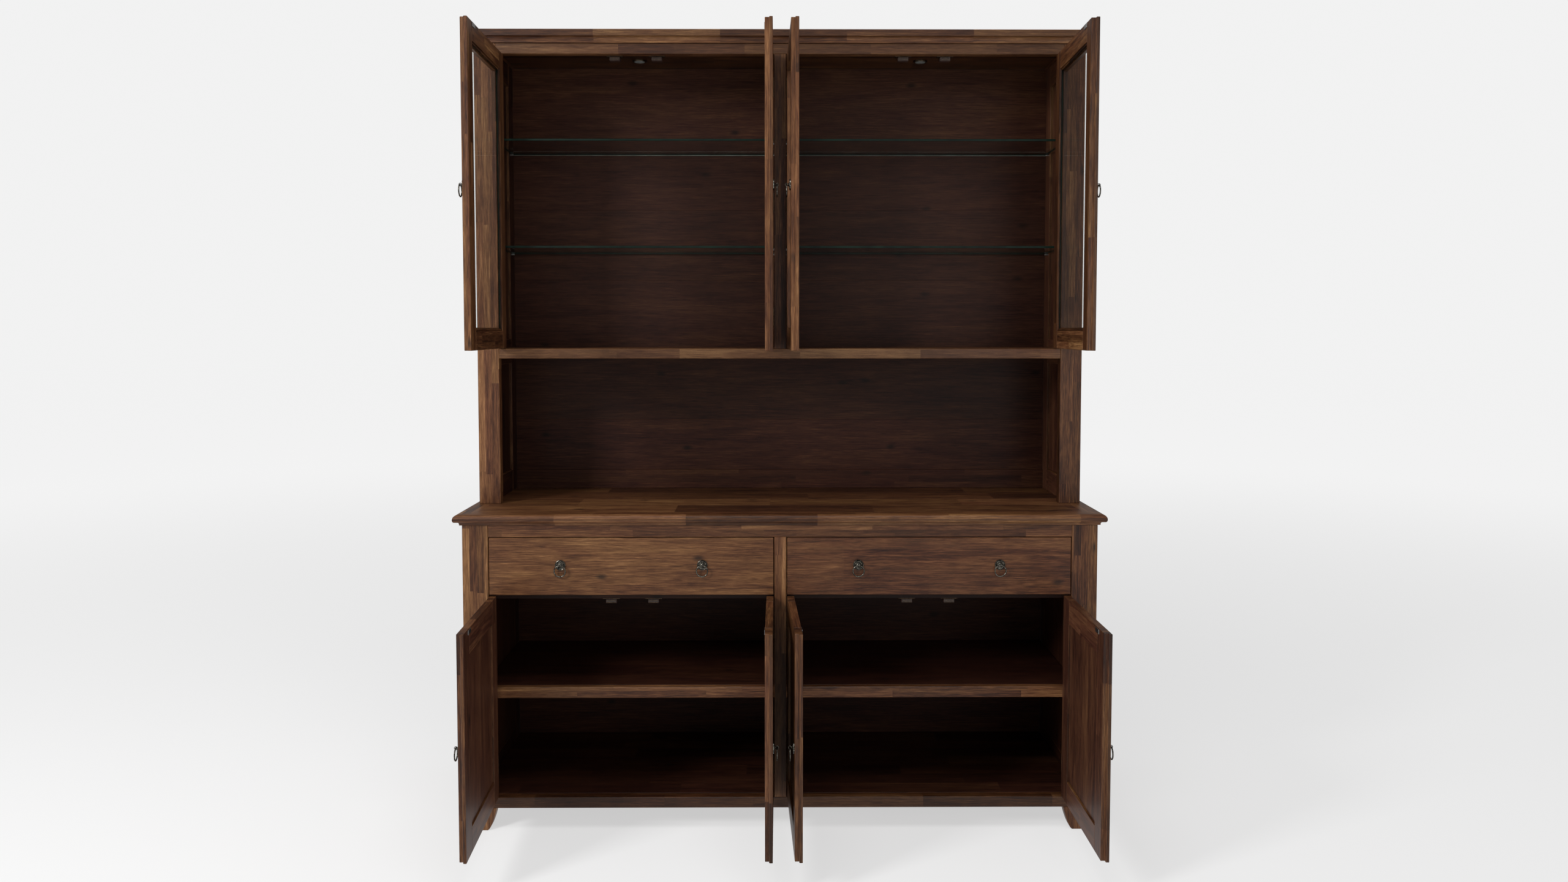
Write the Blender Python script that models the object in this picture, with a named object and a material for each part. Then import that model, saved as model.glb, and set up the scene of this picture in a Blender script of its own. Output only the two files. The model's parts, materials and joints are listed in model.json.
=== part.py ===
"""China cabinet in two parts: a buffet base with drawers and doors, and a hutch with glass doors.

Metres, +Z up, the front faces -Y. The origin is on the floor, at the middle of the whole
object's box, which counts the doors standing open. Inside this file everything is placed from
the base's front face (Y = 0), and the empty named cabinet moves it all to that origin.
Run it with: blender --background --python part.py
"""

import math

import bmesh
import bpy
from mathutils import Matrix, Vector

# Overall sizes
CASE_WIDTH = 1.635
BASE_DEPTH = 0.485
BASE_HEIGHT = 0.829
TOTAL_HEIGHT = 2.098
HUTCH_SETBACK = 0.175

# Gaps
FIT = 0.0003  # between fixed pieces that touch
DOOR_GAP = 0.002  # round a door
DRAWER_GAP = 0.002  # round a drawer front
SHELF_GAP = 0.002  # beside a loose shelf

# Carcass boards
END_THICKNESS = 0.033
PARTITION_THICKNESS = 0.020
BACK_THICKNESS = 0.008
BACK_INSET = 0.003
BOARD_THICKNESS = 0.018
FRAME_DEPTH = 0.028  # front to back, of the posts, rails and centre stiles

# Base front, from the floor up
FOOT_HEIGHT = 0.059
FOOT_TOP_WIDTH = 0.080
FOOT_FLOOR_WIDTH = 0.056
FOOT_CURVE = 0.62  # 1 is a straight taper, less curves the foot's inner side
FOOT_POINTS = 6
BOTTOM_RAIL_HEIGHT = 0.028
BASE_POST_WIDTH = 0.066
BASE_STILE_WIDTH = 0.031
DIVIDER_HEIGHT = 0.020
DIVIDER_DEPTH = 0.060
DIVIDER_SETBACK = 0.0205
DIVIDER_COVER = 0.014  # how far the divider rail drops below the drawer front
DRAWER_FRONT_HEIGHT = 0.1485
TOP_RAIL_HEIGHT = 0.031
END_FRAME_WIDTH = 0.062  # stiles and rails round the panel in each end
END_PANEL_DEPTH = 0.007

# Moulded top of the base: bottom fillet, cove, step, then a nosing that is fuller on top
TOP_OVERHANG = 0.0205
TOP_FRONT_OVERHANG = 0.018
TOP_FILLET = 0.002
TOP_COVE = 0.0065
TOP_COVE_INSET = 0.0144
TOP_STEP_INSET = 0.0085
TOP_NOSE_LOW = 0.0075
TOP_NOSE_LOW_INSET = 0.005
TOP_NOSE_HIGH = 0.0125
TOP_NOSE_HIGH_INSET = 0.013
ARC_STEPS = 4

# Hutch, from the top of the base up
DECK_HEIGHT = 0.395  # clear height of the open niche
DECK_THICKNESS = 0.026
HUTCH_POST_WIDTH = 0.0575
HUTCH_STILE_WIDTH = 0.032
FRIEZE_HEIGHT = 0.028
CROWN_OVERHANG = 0.018
CROWN_HEIGHT = 0.033
CROWN_FOOT_INSET = 0.013
CROWN_FILLET = 0.003
CROWN_COVE = 0.0125
CROWN_STEP_INSET = 0.004
CROWN_ARRIS = 0.002

# Shelves
GLASS_SHELF_HEIGHTS = (0.2735, 0.562)  # underside, above the deck
GLASS_SHELF_THICKNESS = 0.006
GLASS_SHELF_SETBACK = 0.032
WOOD_SHELF_HEIGHT = 0.281  # top face, above the bottom board
WOOD_SHELF_SETBACK = 0.031
WOOD_SHELF_LIP = (0.020, 0.029)  # front edging: front to back, and height
SHELF_BACK_GAP = 0.004

# Doors. Each angle is how far that door stands open, from the left end to the right end
UPPER_DOOR_THICKNESS = 0.019
LOWER_DOOR_THICKNESS = 0.018
UPPER_DOOR_ANGLES = (89.0, 90.0, 88.9, 88.7)
LOWER_DOOR_ANGLES = (87.3, 89.9, 87.7, 89.9)
UPPER_STILE = 0.052
UPPER_RAIL = 0.055
LOWER_STILE = 0.056
LOWER_RAIL = 0.060
LAP = 0.008  # how far the meeting edges overlap
LAP_GAP = 0.0015
LIP_THICKNESS = 0.0085  # front layer of the lapped edge
DOOR_DRAWER_GAP = 0.003
REBATE_WIDTH = 0.008
REBATE_FRONT = 0.010  # wood left in front of the glass
PANE_THICKNESS = 0.004
PANEL_RECESS_FRONT = 0.006
PANEL_RECESS_BACK = 0.004

# Drawers
DRAWER_FRONT_THICKNESS = 0.020
DRAWER_SIDE_CLEARANCE = 0.0135
DRAWER_BACK_CLEARANCE = 0.0537
DRAWER_BOX_DROP = 0.022  # front's top edge to the box's top edge
DRAWER_BOX_RISE = 0.013  # front's bottom edge to the box's bottom
DRAWER_WALL = 0.012
DRAWER_BOTTOM = 0.008

# Ring pulls: a turned rosette with an eye, and the ring that hangs in it
ROSETTE_RADIUS = 0.0135
ROSETTE_HEIGHT = 0.006
ROSETTE_SIDES = 20
EYE_RADIUS = 0.004
EYE_DROP = 0.0  # eye below the rosette's centre
EYE_HOLE_RADIUS = 0.0026
EYE_REACH = 0.0095  # face of the wood to the hole's centre
EYE_WALL = 0.0012
RING_RADIUS = 0.0143
RING_WIRE = 0.0017
RING_SEGMENTS = 20
RING_SIDES = 6
UPPER_PULL_HEIGHT = 0.395  # above the door's bottom edge
LOWER_PULL_HEIGHT = 0.257
DRAWER_PULL_HEIGHT = 0.078
DRAWER_PULL_INSET = 0.1835

# Ring pull details
ROSETTE_PROFILE = (  # shares of the radius and of the height, from the wood to the crown
    (1.0, 0.0),
    (1.0, 0.25),
    (0.86, 0.45),
    (0.74, 0.40),
    (0.55, 0.85),
    (0.25, 1.0),
    (0.0, 1.0),
)
EYE_ROOT = 0.3  # share of the rosette's height at which the eye starts
EYE_SIDES = 16
EYE_HOLE_SIDES = 12

# Modelling limits
WELD = 0.00005  # points nearer than this become one
STRAIGHT = 0.01  # edges that bend less than this, in radians, go
FACING = 0.9  # least share of a normal along the way a face looks
POCKET_START = 0.001  # first inset of a pocket, before it takes its own size
SHARP_ANGLE = 35.0  # edges that turn more than this stay sharp on the pulls

# Worked out from the sizes above
HALF = CASE_WIDTH / 2
TOP_THICKNESS = TOP_FILLET + TOP_COVE + TOP_NOSE_LOW + TOP_NOSE_HIGH
CASE_TOP = BASE_HEIGHT - TOP_THICKNESS
BOTTOM_TOP = FOOT_HEIGHT + BOTTOM_RAIL_HEIGHT
DRAWER_TOP = CASE_TOP - TOP_RAIL_HEIGHT - DRAWER_GAP
DRAWER_LOW = DRAWER_TOP - DRAWER_FRONT_HEIGHT
DIVIDER_LOW = DRAWER_LOW - DIVIDER_COVER
INNER_X = HALF - END_THICKNESS
BACK_Y = BASE_DEPTH - BACK_INSET - BACK_THICKNESS
DECK_LOW = BASE_HEIGHT + DECK_HEIGHT
DECK_TOP = DECK_LOW + DECK_THICKNESS
CROWN_LOW = TOTAL_HEIGHT - CROWN_HEIGHT
FRIEZE_LOW = CROWN_LOW - FRIEZE_HEIGHT
HUTCH_FRAME_BACK = HUTCH_SETBACK + FRAME_DEPTH

BASE_BAY = (BASE_STILE_WIDTH / 2, HALF - BASE_POST_WIDTH)
HUTCH_BAY = (HUTCH_STILE_WIDTH / 2, HALF - HUTCH_POST_WIDTH)

WOOD = ((0.115, 0.058, 0.034), 0.42, 0.0)
DARK_WOOD = ((0.050, 0.024, 0.016), 0.55, 0.0)
DRAWER_WOOD = ((0.30, 0.19, 0.11), 0.60, 0.0)
GLASS = ((0.55, 0.66, 0.62), 0.05, 0.0)
PEWTER = ((0.20, 0.18, 0.15), 0.38, 0.9)


def clear_scene():
    for old in list(bpy.data.objects):
        bpy.data.objects.remove(old, do_unlink=True)


def new_collection(name):
    collection = bpy.data.collections.new(name)
    bpy.context.scene.collection.children.link(collection)
    return collection


def finish_material(name, finish):
    colour, roughness, metallic = finish
    material = bpy.data.materials.new(name)
    material.use_nodes = True
    shader = material.node_tree.nodes["Principled BSDF"]
    shader.inputs["Base Color"].default_value = (*colour, 1.0)
    shader.inputs["Roughness"].default_value = roughness
    shader.inputs["Metallic"].default_value = metallic
    return material


def add_object(name, mesh, finish, parent, location=(0.0, 0.0, 0.0), turn=0.0):
    """Links a mesh as a named sub-part, under its parent, at a place and a turn about Z."""
    obj = bpy.data.objects.new(name, mesh)
    parts.objects.link(obj)
    obj.parent = parent
    obj.location = location
    obj.rotation_euler = (0.0, 0.0, turn)
    if not mesh.materials:
        mesh.materials.append(finish_material(name + "_finish", finish))
    return obj


def mesh_from(bm, name):
    bmesh.ops.recalc_face_normals(bm, faces=bm.faces)
    mesh = bpy.data.meshes.new(name)
    bm.to_mesh(mesh)
    bm.free()
    return mesh


def box_bmesh(x, y, z):
    """A box between two values on each axis."""
    low = Vector((min(x), min(y), min(z)))
    high = Vector((max(x), max(y), max(z)))
    bm = bmesh.new()
    place = Matrix.Translation((low + high) / 2) @ Matrix.Diagonal((*(high - low), 1.0))
    bmesh.ops.create_cube(bm, size=1.0, matrix=place)
    return bm


def board(name, x, y, z, finish=WOOD, parent=None):
    return add_object(name, mesh_from(box_bmesh(x, y, z), name), finish, parent or cabinet)


def outline_mesh(name, points, low, high, turn=None):
    """A flat outline in XY made solid from low to high along Z, then turned by a matrix."""
    curve = bpy.data.curves.new(name, "CURVE")
    curve.dimensions = "2D"
    curve.fill_mode = "BOTH"
    curve.extrude = (high - low) / 2
    spline = curve.splines.new("POLY")
    spline.points.add(len(points) - 1)
    for point, (x, y) in zip(spline.points, points):
        point.co = (x, y, 0.0, 1.0)
    spline.use_cyclic_u = True
    guide = bpy.data.objects.new(name, curve)
    parts.objects.link(guide)
    graph = bpy.context.evaluated_depsgraph_get()
    flat = bpy.data.meshes.new_from_object(guide.evaluated_get(graph))
    bpy.data.objects.remove(guide, do_unlink=True)
    bpy.data.curves.remove(curve)
    bm = bmesh.new()
    bm.from_mesh(flat)
    bpy.data.meshes.remove(flat)
    bmesh.ops.remove_doubles(bm, verts=bm.verts, dist=WELD)
    bmesh.ops.dissolve_limit(bm, angle_limit=STRAIGHT, verts=bm.verts, edges=bm.edges)
    bmesh.ops.translate(bm, verts=bm.verts, vec=(0.0, 0.0, (low + high) / 2))
    if turn is not None:
        bmesh.ops.transform(bm, matrix=turn, verts=bm.verts)
    return mesh_from(bm, name)


# An outline drawn in (x, z) becomes a slab along Y, and one drawn in (y, z) a slab along X.
STAND_XZ = Matrix(((1, 0, 0, 0), (0, 0, 1, 0), (0, 1, 0, 0), (0, 0, 0, 1)))
STAND_YZ = Matrix(((0, 0, 1, 0), (1, 0, 0, 0), (0, 1, 0, 0), (0, 0, 0, 1)))


def add_tool(name, mesh):
    """A helper solid for a Boolean. It isn't part of the cabinet."""
    tool = bpy.data.objects.new(name, mesh)
    tools.objects.link(tool)
    tool.parent = cabinet
    tool.hide_render = True
    tool.display_type = "WIRE"
    return tool


def combine(obj, tool, operation):
    boolean = obj.modifiers.new(tool.name, "BOOLEAN")
    boolean.operation = operation
    boolean.object = tool


def push_pocket(bm, face, x, z, depth):
    """Cuts a rectangular pocket into a face that looks along Y, and returns its bottom."""
    bmesh.ops.inset_individual(bm, faces=[face], thickness=POCKET_START)
    middle = face.calc_center_median()
    for vert in face.verts:
        vert.co.x = x[0] if vert.co.x < middle.x else x[1]
        vert.co.z = z[0] if vert.co.z < middle.z else z[1]
    bottom = bmesh.ops.extrude_discrete_faces(bm, faces=[face])["faces"][0]
    bmesh.ops.translate(bm, verts=bottom.verts, vec=(0.0, depth, 0.0))
    return bottom


def push_panel(bm, face, margin, depth):
    """Sinks a panel into a face, leaving a frame of one width round it."""
    bmesh.ops.inset_individual(bm, faces=[face], thickness=margin, use_even_offset=True)
    inward = -face.normal * depth
    bottom = bmesh.ops.extrude_discrete_faces(bm, faces=[face])["faces"][0]
    bmesh.ops.translate(bm, verts=bottom.verts, vec=inward)


def arc(start, end, steps, convex):
    """Points after start along a quarter of an ellipse to end. Pairs are (height, inset)."""
    points = []
    for step in range(1, steps + 1):
        angle = math.pi / 2 * step / steps
        if convex:
            height_share, inset_share = math.sin(angle), 1 - math.cos(angle)
        else:
            height_share, inset_share = 1 - math.cos(angle), math.sin(angle)
        height = start[0] + (end[0] - start[0]) * height_share
        inset = start[1] + (end[1] - start[1]) * inset_share
        points.append((height, inset))
    return points


def moulded_slab(name, low, front, back, side_reach, ahead, profile):
    """A slab whose front and ends follow a moulding, and whose back edge is plain."""
    middle_y = (front + back) / 2
    bm = bmesh.new()
    place = Matrix.Translation((0.0, middle_y, low))
    bmesh.ops.create_grid(bm, x_segments=1, y_segments=1, size=1.0, matrix=place)

    def shape_level(face, height, inset):
        for vert in face.verts:
            side = 1 if vert.co.x > 0 else -1
            vert.co.x = side * (HALF + side_reach - inset)
            vert.co.y = back if vert.co.y > middle_y else front - ahead + inset
            vert.co.z = low + height

    first, *rest = profile
    level = list(bm.faces)[0]
    shape_level(level, *first)
    for height, inset in rest:
        level = bmesh.ops.extrude_discrete_faces(bm, faces=[level])["faces"][0]
        shape_level(level, height, inset)
    bottom = [edge for edge in bm.edges if edge.is_boundary]
    bmesh.ops.edgeloop_fill(bm, edges=bottom)
    bmesh.ops.remove_doubles(bm, verts=bm.verts, dist=WELD)
    return add_object(name, mesh_from(bm, name), WOOD, cabinet)


def foot_curve():
    """(width, height) up the inner side of a foot, from the floor to its top."""
    rise = FOOT_TOP_WIDTH - FOOT_FLOOR_WIDTH
    steps = [step / (FOOT_POINTS - 1) for step in range(FOOT_POINTS)]
    top = FOOT_HEIGHT - FIT
    return [(FOOT_FLOOR_WIDTH + rise * share**FOOT_CURVE, share * top) for share in steps]


def build_base_ends():
    curve = foot_curve()
    top = CASE_TOP - FIT
    floor_to_board = FOOT_HEIGHT - FIT
    side_view = [(0.0, 0.0)]
    side_view += [(width, height) for width, height in curve]
    side_view += [(BASE_DEPTH - width, height) for width, height in reversed(curve)]
    side_view += [(BASE_DEPTH, 0.0), (BASE_DEPTH, top), (0.0, top)]
    post_width = BASE_POST_WIDTH
    front_view = [(0.0, 0.0)] + curve
    front_view += [(post_width, floor_to_board), (post_width, top), (0.0, top)]
    for name, side in (("left", -1), ("right", 1)):
        board_span = sorted((side * HALF, side * (HALF - END_THICKNESS)))
        mesh = outline_mesh(f"base_{name}_end", side_view, *board_span, STAND_YZ)
        bm = bmesh.new()
        bm.from_mesh(mesh)
        cut = FOOT_HEIGHT + FIT
        bmesh.ops.bisect_plane(
            bm,
            geom=bm.verts[:] + bm.edges[:] + bm.faces[:],
            plane_co=(0.0, 0.0, cut),
            plane_no=(0.0, 0.0, 1.0),
        )
        bm.normal_update()
        outer = [
            face
            for face in bm.faces
            if face.normal.x * side > FACING and face.calc_center_median().z > cut
        ]
        push_panel(bm, outer[0], END_FRAME_WIDTH, END_PANEL_DEPTH)
        mesh = mesh_from(bm, f"base_{name}_end")
        end = add_object(f"base_{name}_end", mesh, WOOD, cabinet)
        post_points = [(side * (HALF - x), z) for x, z in front_view]
        post = outline_mesh(f"{name}_post", post_points, 0.0, FRAME_DEPTH, STAND_XZ)
        combine(end, add_tool(f"{name}_post", post), "UNION")
        foot = box_bmesh(
            (side * HALF, side * (HALF - BASE_POST_WIDTH)),
            (BASE_DEPTH - FOOT_FLOOR_WIDTH, BASE_DEPTH),
            (0.0, floor_to_board),
        )
        block = add_tool(f"{name}_rear_foot", mesh_from(foot, f"{name}_rear_foot"))
        combine(end, block, "UNION")


def build_base_carcass():
    post_edge = BASE_BAY[1] - FIT
    stile = BASE_STILE_WIDTH / 2
    rail_low = CASE_TOP - TOP_RAIL_HEIGHT
    top = CASE_TOP - FIT
    frame = board("base_face_frame", (-stile, stile), (0.0, FRAME_DEPTH), (FOOT_HEIGHT, top))
    rail_y = (DIVIDER_SETBACK, DIVIDER_SETBACK + DIVIDER_DEPTH)
    rail_z = (DIVIDER_LOW, DIVIDER_LOW + DIVIDER_HEIGHT)
    rails = (
        ("top_rail", (0.0, FRAME_DEPTH), (rail_low, top)),
        ("bottom_rail", (0.0, FRAME_DEPTH), (FOOT_HEIGHT, BOTTOM_TOP)),
        ("divider_rail", rail_y, rail_z),
    )
    for name, deep, tall in rails:
        rail = mesh_from(box_bmesh((-post_edge, post_edge), deep, tall), name)
        combine(frame, add_tool(name, rail), "UNION")

    inside = INNER_X - FIT
    behind = FRAME_DEPTH + FIT
    back = BACK_Y - FIT
    bottom_low = BOTTOM_TOP - BOARD_THICKNESS
    board("base_bottom", (-inside, inside), (behind, back), (bottom_low, BOTTOM_TOP), DARK_WOOD)
    back_y = (BACK_Y, BACK_Y + BACK_THICKNESS)
    board("base_back", (-inside, inside), back_y, (bottom_low, top), DARK_WOOD)
    notch_y = rail_y[1] + FIT
    notched = [
        (behind, BOTTOM_TOP + FIT),
        (back, BOTTOM_TOP + FIT),
        (back, top),
        (behind, top),
        (behind, rail_z[1] + FIT),
        (notch_y, rail_z[1] + FIT),
        (notch_y, rail_z[0] - FIT),
        (behind, rail_z[0] - FIT),
    ]
    half = PARTITION_THICKNESS / 2
    mesh = outline_mesh("base_partition", notched, -half, half, STAND_YZ)
    add_object("base_partition", mesh, DARK_WOOD, cabinet)

    shelf_top = BOTTOM_TOP + WOOD_SHELF_HEIGHT
    lip_depth, lip_height = WOOD_SHELF_LIP
    front = WOOD_SHELF_SETBACK
    shelf_back = BACK_Y - SHELF_BACK_GAP
    section = [
        (front, shelf_top - lip_height),
        (front + lip_depth, shelf_top - lip_height),
        (front + lip_depth, shelf_top - BOARD_THICKNESS),
        (shelf_back, shelf_top - BOARD_THICKNESS),
        (shelf_back, shelf_top),
        (front, shelf_top),
    ]
    for name, side in (("left", -1), ("right", 1)):
        span = sorted((side * (INNER_X - SHELF_GAP), side * (half + SHELF_GAP)))
        mesh = outline_mesh(f"base_{name}_shelf", section, *span, STAND_YZ)
        add_object(f"base_{name}_shelf", mesh, WOOD, cabinet)


def top_profile():
    cove_foot = (TOP_FILLET, TOP_COVE_INSET)
    cove_head = (TOP_FILLET + TOP_COVE, TOP_STEP_INSET)
    nose_low = (cove_head[0], TOP_NOSE_LOW_INSET)
    nose = (nose_low[0] + TOP_NOSE_LOW, 0.0)
    arris = (nose[0] + TOP_NOSE_HIGH, TOP_NOSE_HIGH_INSET)
    points = [(0.0, TOP_COVE_INSET), cove_foot]
    points += arc(cove_foot, cove_head, ARC_STEPS, convex=True)
    points += [nose_low]
    points += arc(nose_low, nose, ARC_STEPS, convex=False)
    points += arc(nose, arris, ARC_STEPS, convex=True)
    return points


def crown_profile():
    cove_foot = (CROWN_FILLET, CROWN_FOOT_INSET)
    cove_head = (CROWN_FILLET + CROWN_COVE, CROWN_STEP_INSET)
    points = [(0.0, CROWN_FOOT_INSET), cove_foot]
    points += arc(cove_foot, cove_head, ARC_STEPS, convex=True)
    points += [(cove_head[0], 0.0)]
    points += [(CROWN_HEIGHT - CROWN_ARRIS, 0.0), (CROWN_HEIGHT, CROWN_ARRIS)]
    return points


def build_hutch_ends():
    front = HUTCH_SETBACK
    for name, side in (("left", -1), ("right", 1)):
        outer = side * HALF
        post = side * (HALF - HUTCH_POST_WIDTH)
        inner = side * INNER_X
        plan = [
            (outer, front),
            (post, front),
            (post, HUTCH_FRAME_BACK),
            (inner, HUTCH_FRAME_BACK),
            (inner, BASE_DEPTH),
            (outer, BASE_DEPTH),
        ]
        label = f"hutch_{name}_end"
        mesh = outline_mesh(label, plan, BASE_HEIGHT + FIT, CROWN_LOW - FIT)
        bm = bmesh.new()
        bm.from_mesh(mesh)
        bm.normal_update()
        faces = [face for face in bm.faces if face.normal.x * side > FACING]
        push_panel(bm, faces[0], END_FRAME_WIDTH, END_PANEL_DEPTH)
        add_object(label, mesh_from(bm, label), WOOD, cabinet)


def build_hutch_carcass():
    post_edge = HUTCH_BAY[1] - FIT
    stile = HUTCH_STILE_WIDTH / 2
    top = CROWN_LOW - FIT
    low = DECK_TOP + FIT
    right_half = [(stile, low), (stile, FRIEZE_LOW), (post_edge, FRIEZE_LOW), (post_edge, top)]
    tee = right_half + [(-x, z) for x, z in reversed(right_half)]
    name = "hutch_face_frame"
    mesh = outline_mesh(name, tee, HUTCH_SETBACK, HUTCH_FRAME_BACK, STAND_XZ)
    add_object(name, mesh, WOOD, cabinet)

    inside = INNER_X - FIT
    back = BACK_Y - FIT
    behind = HUTCH_FRAME_BACK + FIT
    half = PARTITION_THICKNESS / 2
    board("hutch_partition", (-half, half), (behind, back), (low, top), DARK_WOOD)
    back_y = (BACK_Y, BACK_Y + BACK_THICKNESS)
    board("hutch_back", (-inside, inside), back_y, (BASE_HEIGHT + FIT, top), DARK_WOOD)
    right_half = [(post_edge, HUTCH_SETBACK), (post_edge, behind), (inside, behind), (inside, back)]
    plan = right_half + [(-x, y) for x, y in reversed(right_half)]
    mesh = outline_mesh("hutch_deck", plan, DECK_LOW, DECK_TOP)
    add_object("hutch_deck", mesh, WOOD, cabinet)

    shelf_y = (HUTCH_SETBACK + GLASS_SHELF_SETBACK, BACK_Y - SHELF_BACK_GAP)
    levels = zip(("lower", "upper"), GLASS_SHELF_HEIGHTS)
    for level, height in levels:
        shelf_low = DECK_TOP + height
        shelf_z = (shelf_low, shelf_low + GLASS_SHELF_THICKNESS)
        for name, side in (("left", -1), ("right", 1)):
            span = (side * (INNER_X - SHELF_GAP), side * (half + SHELF_GAP))
            board(f"glass_shelf_{name}_{level}", span, shelf_y, shelf_z, GLASS)


def round_tool(name, radius, length, middle, turn, sides):
    """A cylinder as a helper solid: its middle, and which way it lies."""
    bm = bmesh.new()
    place = Matrix.Translation(middle) @ turn
    bmesh.ops.create_cone(
        bm,
        cap_ends=True,
        segments=sides,
        radius1=radius,
        radius2=radius,
        depth=length,
        matrix=place,
    )
    tool = bpy.data.objects.new(name, mesh_from(bm, name))
    tools.objects.link(tool)
    tool.hide_render = True
    tool.display_type = "WIRE"
    return tool


def rosette_mesh():
    """A turned rosette standing out along -Y, with an eye whose hole runs along X."""
    radius = ROSETTE_RADIUS
    height = ROSETTE_HEIGHT
    bm = bmesh.new()
    verts = [bm.verts.new((0.0, 0.0, 0.0))]
    for reach, out in ROSETTE_PROFILE:
        verts.append(bm.verts.new((radius * reach, -height * out, 0.0)))
    edges = [bm.edges.new(pair) for pair in zip(verts, verts[1:])]
    bmesh.ops.spin(
        bm,
        geom=verts + edges,
        cent=(0.0, 0.0, 0.0),
        axis=(0.0, 1.0, 0.0),
        angle=math.tau,
        steps=ROSETTE_SIDES,
        use_merge=True,
    )
    bmesh.ops.remove_doubles(bm, verts=bm.verts, dist=WELD)
    turned = bpy.data.objects.new("rosette_turning", mesh_from(bm, "rosette"))
    tools.objects.link(turned)

    eye_front = EYE_REACH + EYE_HOLE_RADIUS + EYE_WALL
    eye_root = height * EYE_ROOT
    eye_middle = (0.0, -(eye_front + eye_root) / 2, -EYE_DROP)
    lie_y = Matrix.Rotation(math.pi / 2, 4, "X")
    lie_x = Matrix.Rotation(math.pi / 2, 4, "Y")
    eye_length = eye_front - eye_root
    eye = round_tool("eye", EYE_RADIUS, eye_length, eye_middle, lie_y, EYE_SIDES)
    middle = (0.0, -EYE_REACH, -EYE_DROP)
    through = EYE_RADIUS * 4
    hole = round_tool("eye_hole", EYE_HOLE_RADIUS, through, middle, lie_x, EYE_HOLE_SIDES)
    combine(turned, eye, "UNION")
    combine(turned, hole, "DIFFERENCE")
    graph = bpy.context.evaluated_depsgraph_get()
    mesh = bpy.data.meshes.new_from_object(turned.evaluated_get(graph))
    mesh.name = "rosette"
    for helper in (turned, eye, hole):
        bpy.data.objects.remove(helper, do_unlink=True)
    return mesh


def ring_mesh():
    """A ring hanging from its own origin, which is the middle of its wire at the top."""
    bpy.ops.mesh.primitive_torus_add(
        major_radius=RING_RADIUS,
        minor_radius=RING_WIRE,
        major_segments=RING_SEGMENTS,
        minor_segments=RING_SIDES,
    )
    torus = bpy.context.object
    mesh = torus.data.copy()
    mesh.name = "ring"
    bpy.data.objects.remove(torus, do_unlink=True)
    upright = Matrix.Rotation(math.pi / 2, 4, "X")
    mesh.transform(Matrix.Translation((0.0, 0.0, -RING_RADIUS)) @ upright)
    return mesh


def add_pull(name, parent, x, z):
    """A rosette on the front face of its parent, and the ring in the rosette's eye."""
    rosette = add_object(f"{name}_rosette", rosette_shape.copy(), PEWTER, parent)
    rosette.location = (x, -FIT, z)
    ring = add_object(f"{name}_ring", ring_shape.copy(), PEWTER, parent)
    ring.location = (x, -FIT - EYE_REACH, z - EYE_DROP)
    for mesh in (rosette.data, ring.data):
        mesh.shade_smooth()
        mesh.set_sharp_from_angle(angle=math.radians(SHARP_ANGLE))


def leaf_width(bay):
    """Pin to meeting line, of one door of a pair in a bay."""
    return (bay[1] - bay[0]) / 2 - DOOR_GAP - LAP_GAP / 2


def leaf_section(width, thickness, hinged_left):
    """Plan of a door, from its pin: the pair's meeting edges lap over each other."""
    short = width - LAP / 2
    long = width + LAP / 2
    if hinged_left:
        face, back, step = short, long, LIP_THICKNESS + LAP_GAP
    else:
        face, back, step = long, short, LIP_THICKNESS
    plan = [(0.0, 0.0), (face, 0.0), (face, step), (back, step), (back, thickness)]
    return plan + [(0.0, thickness)]


def leaf_bmesh(name, width, thickness, height, hinged_left):
    side = 1 if hinged_left else -1
    plan = [(side * x, y) for x, y in leaf_section(width, thickness, hinged_left)]
    mesh = outline_mesh(name, plan, 0.0, height)
    bm = bmesh.new()
    bm.from_mesh(mesh)
    bm.normal_update()
    widest = []
    for way in (-1, 1):
        faces = [face for face in bm.faces if face.normal.y * way > FACING]
        widest.append(max(faces, key=lambda face: face.calc_area()))
    front, back = widest
    return bm, front, back


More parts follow.
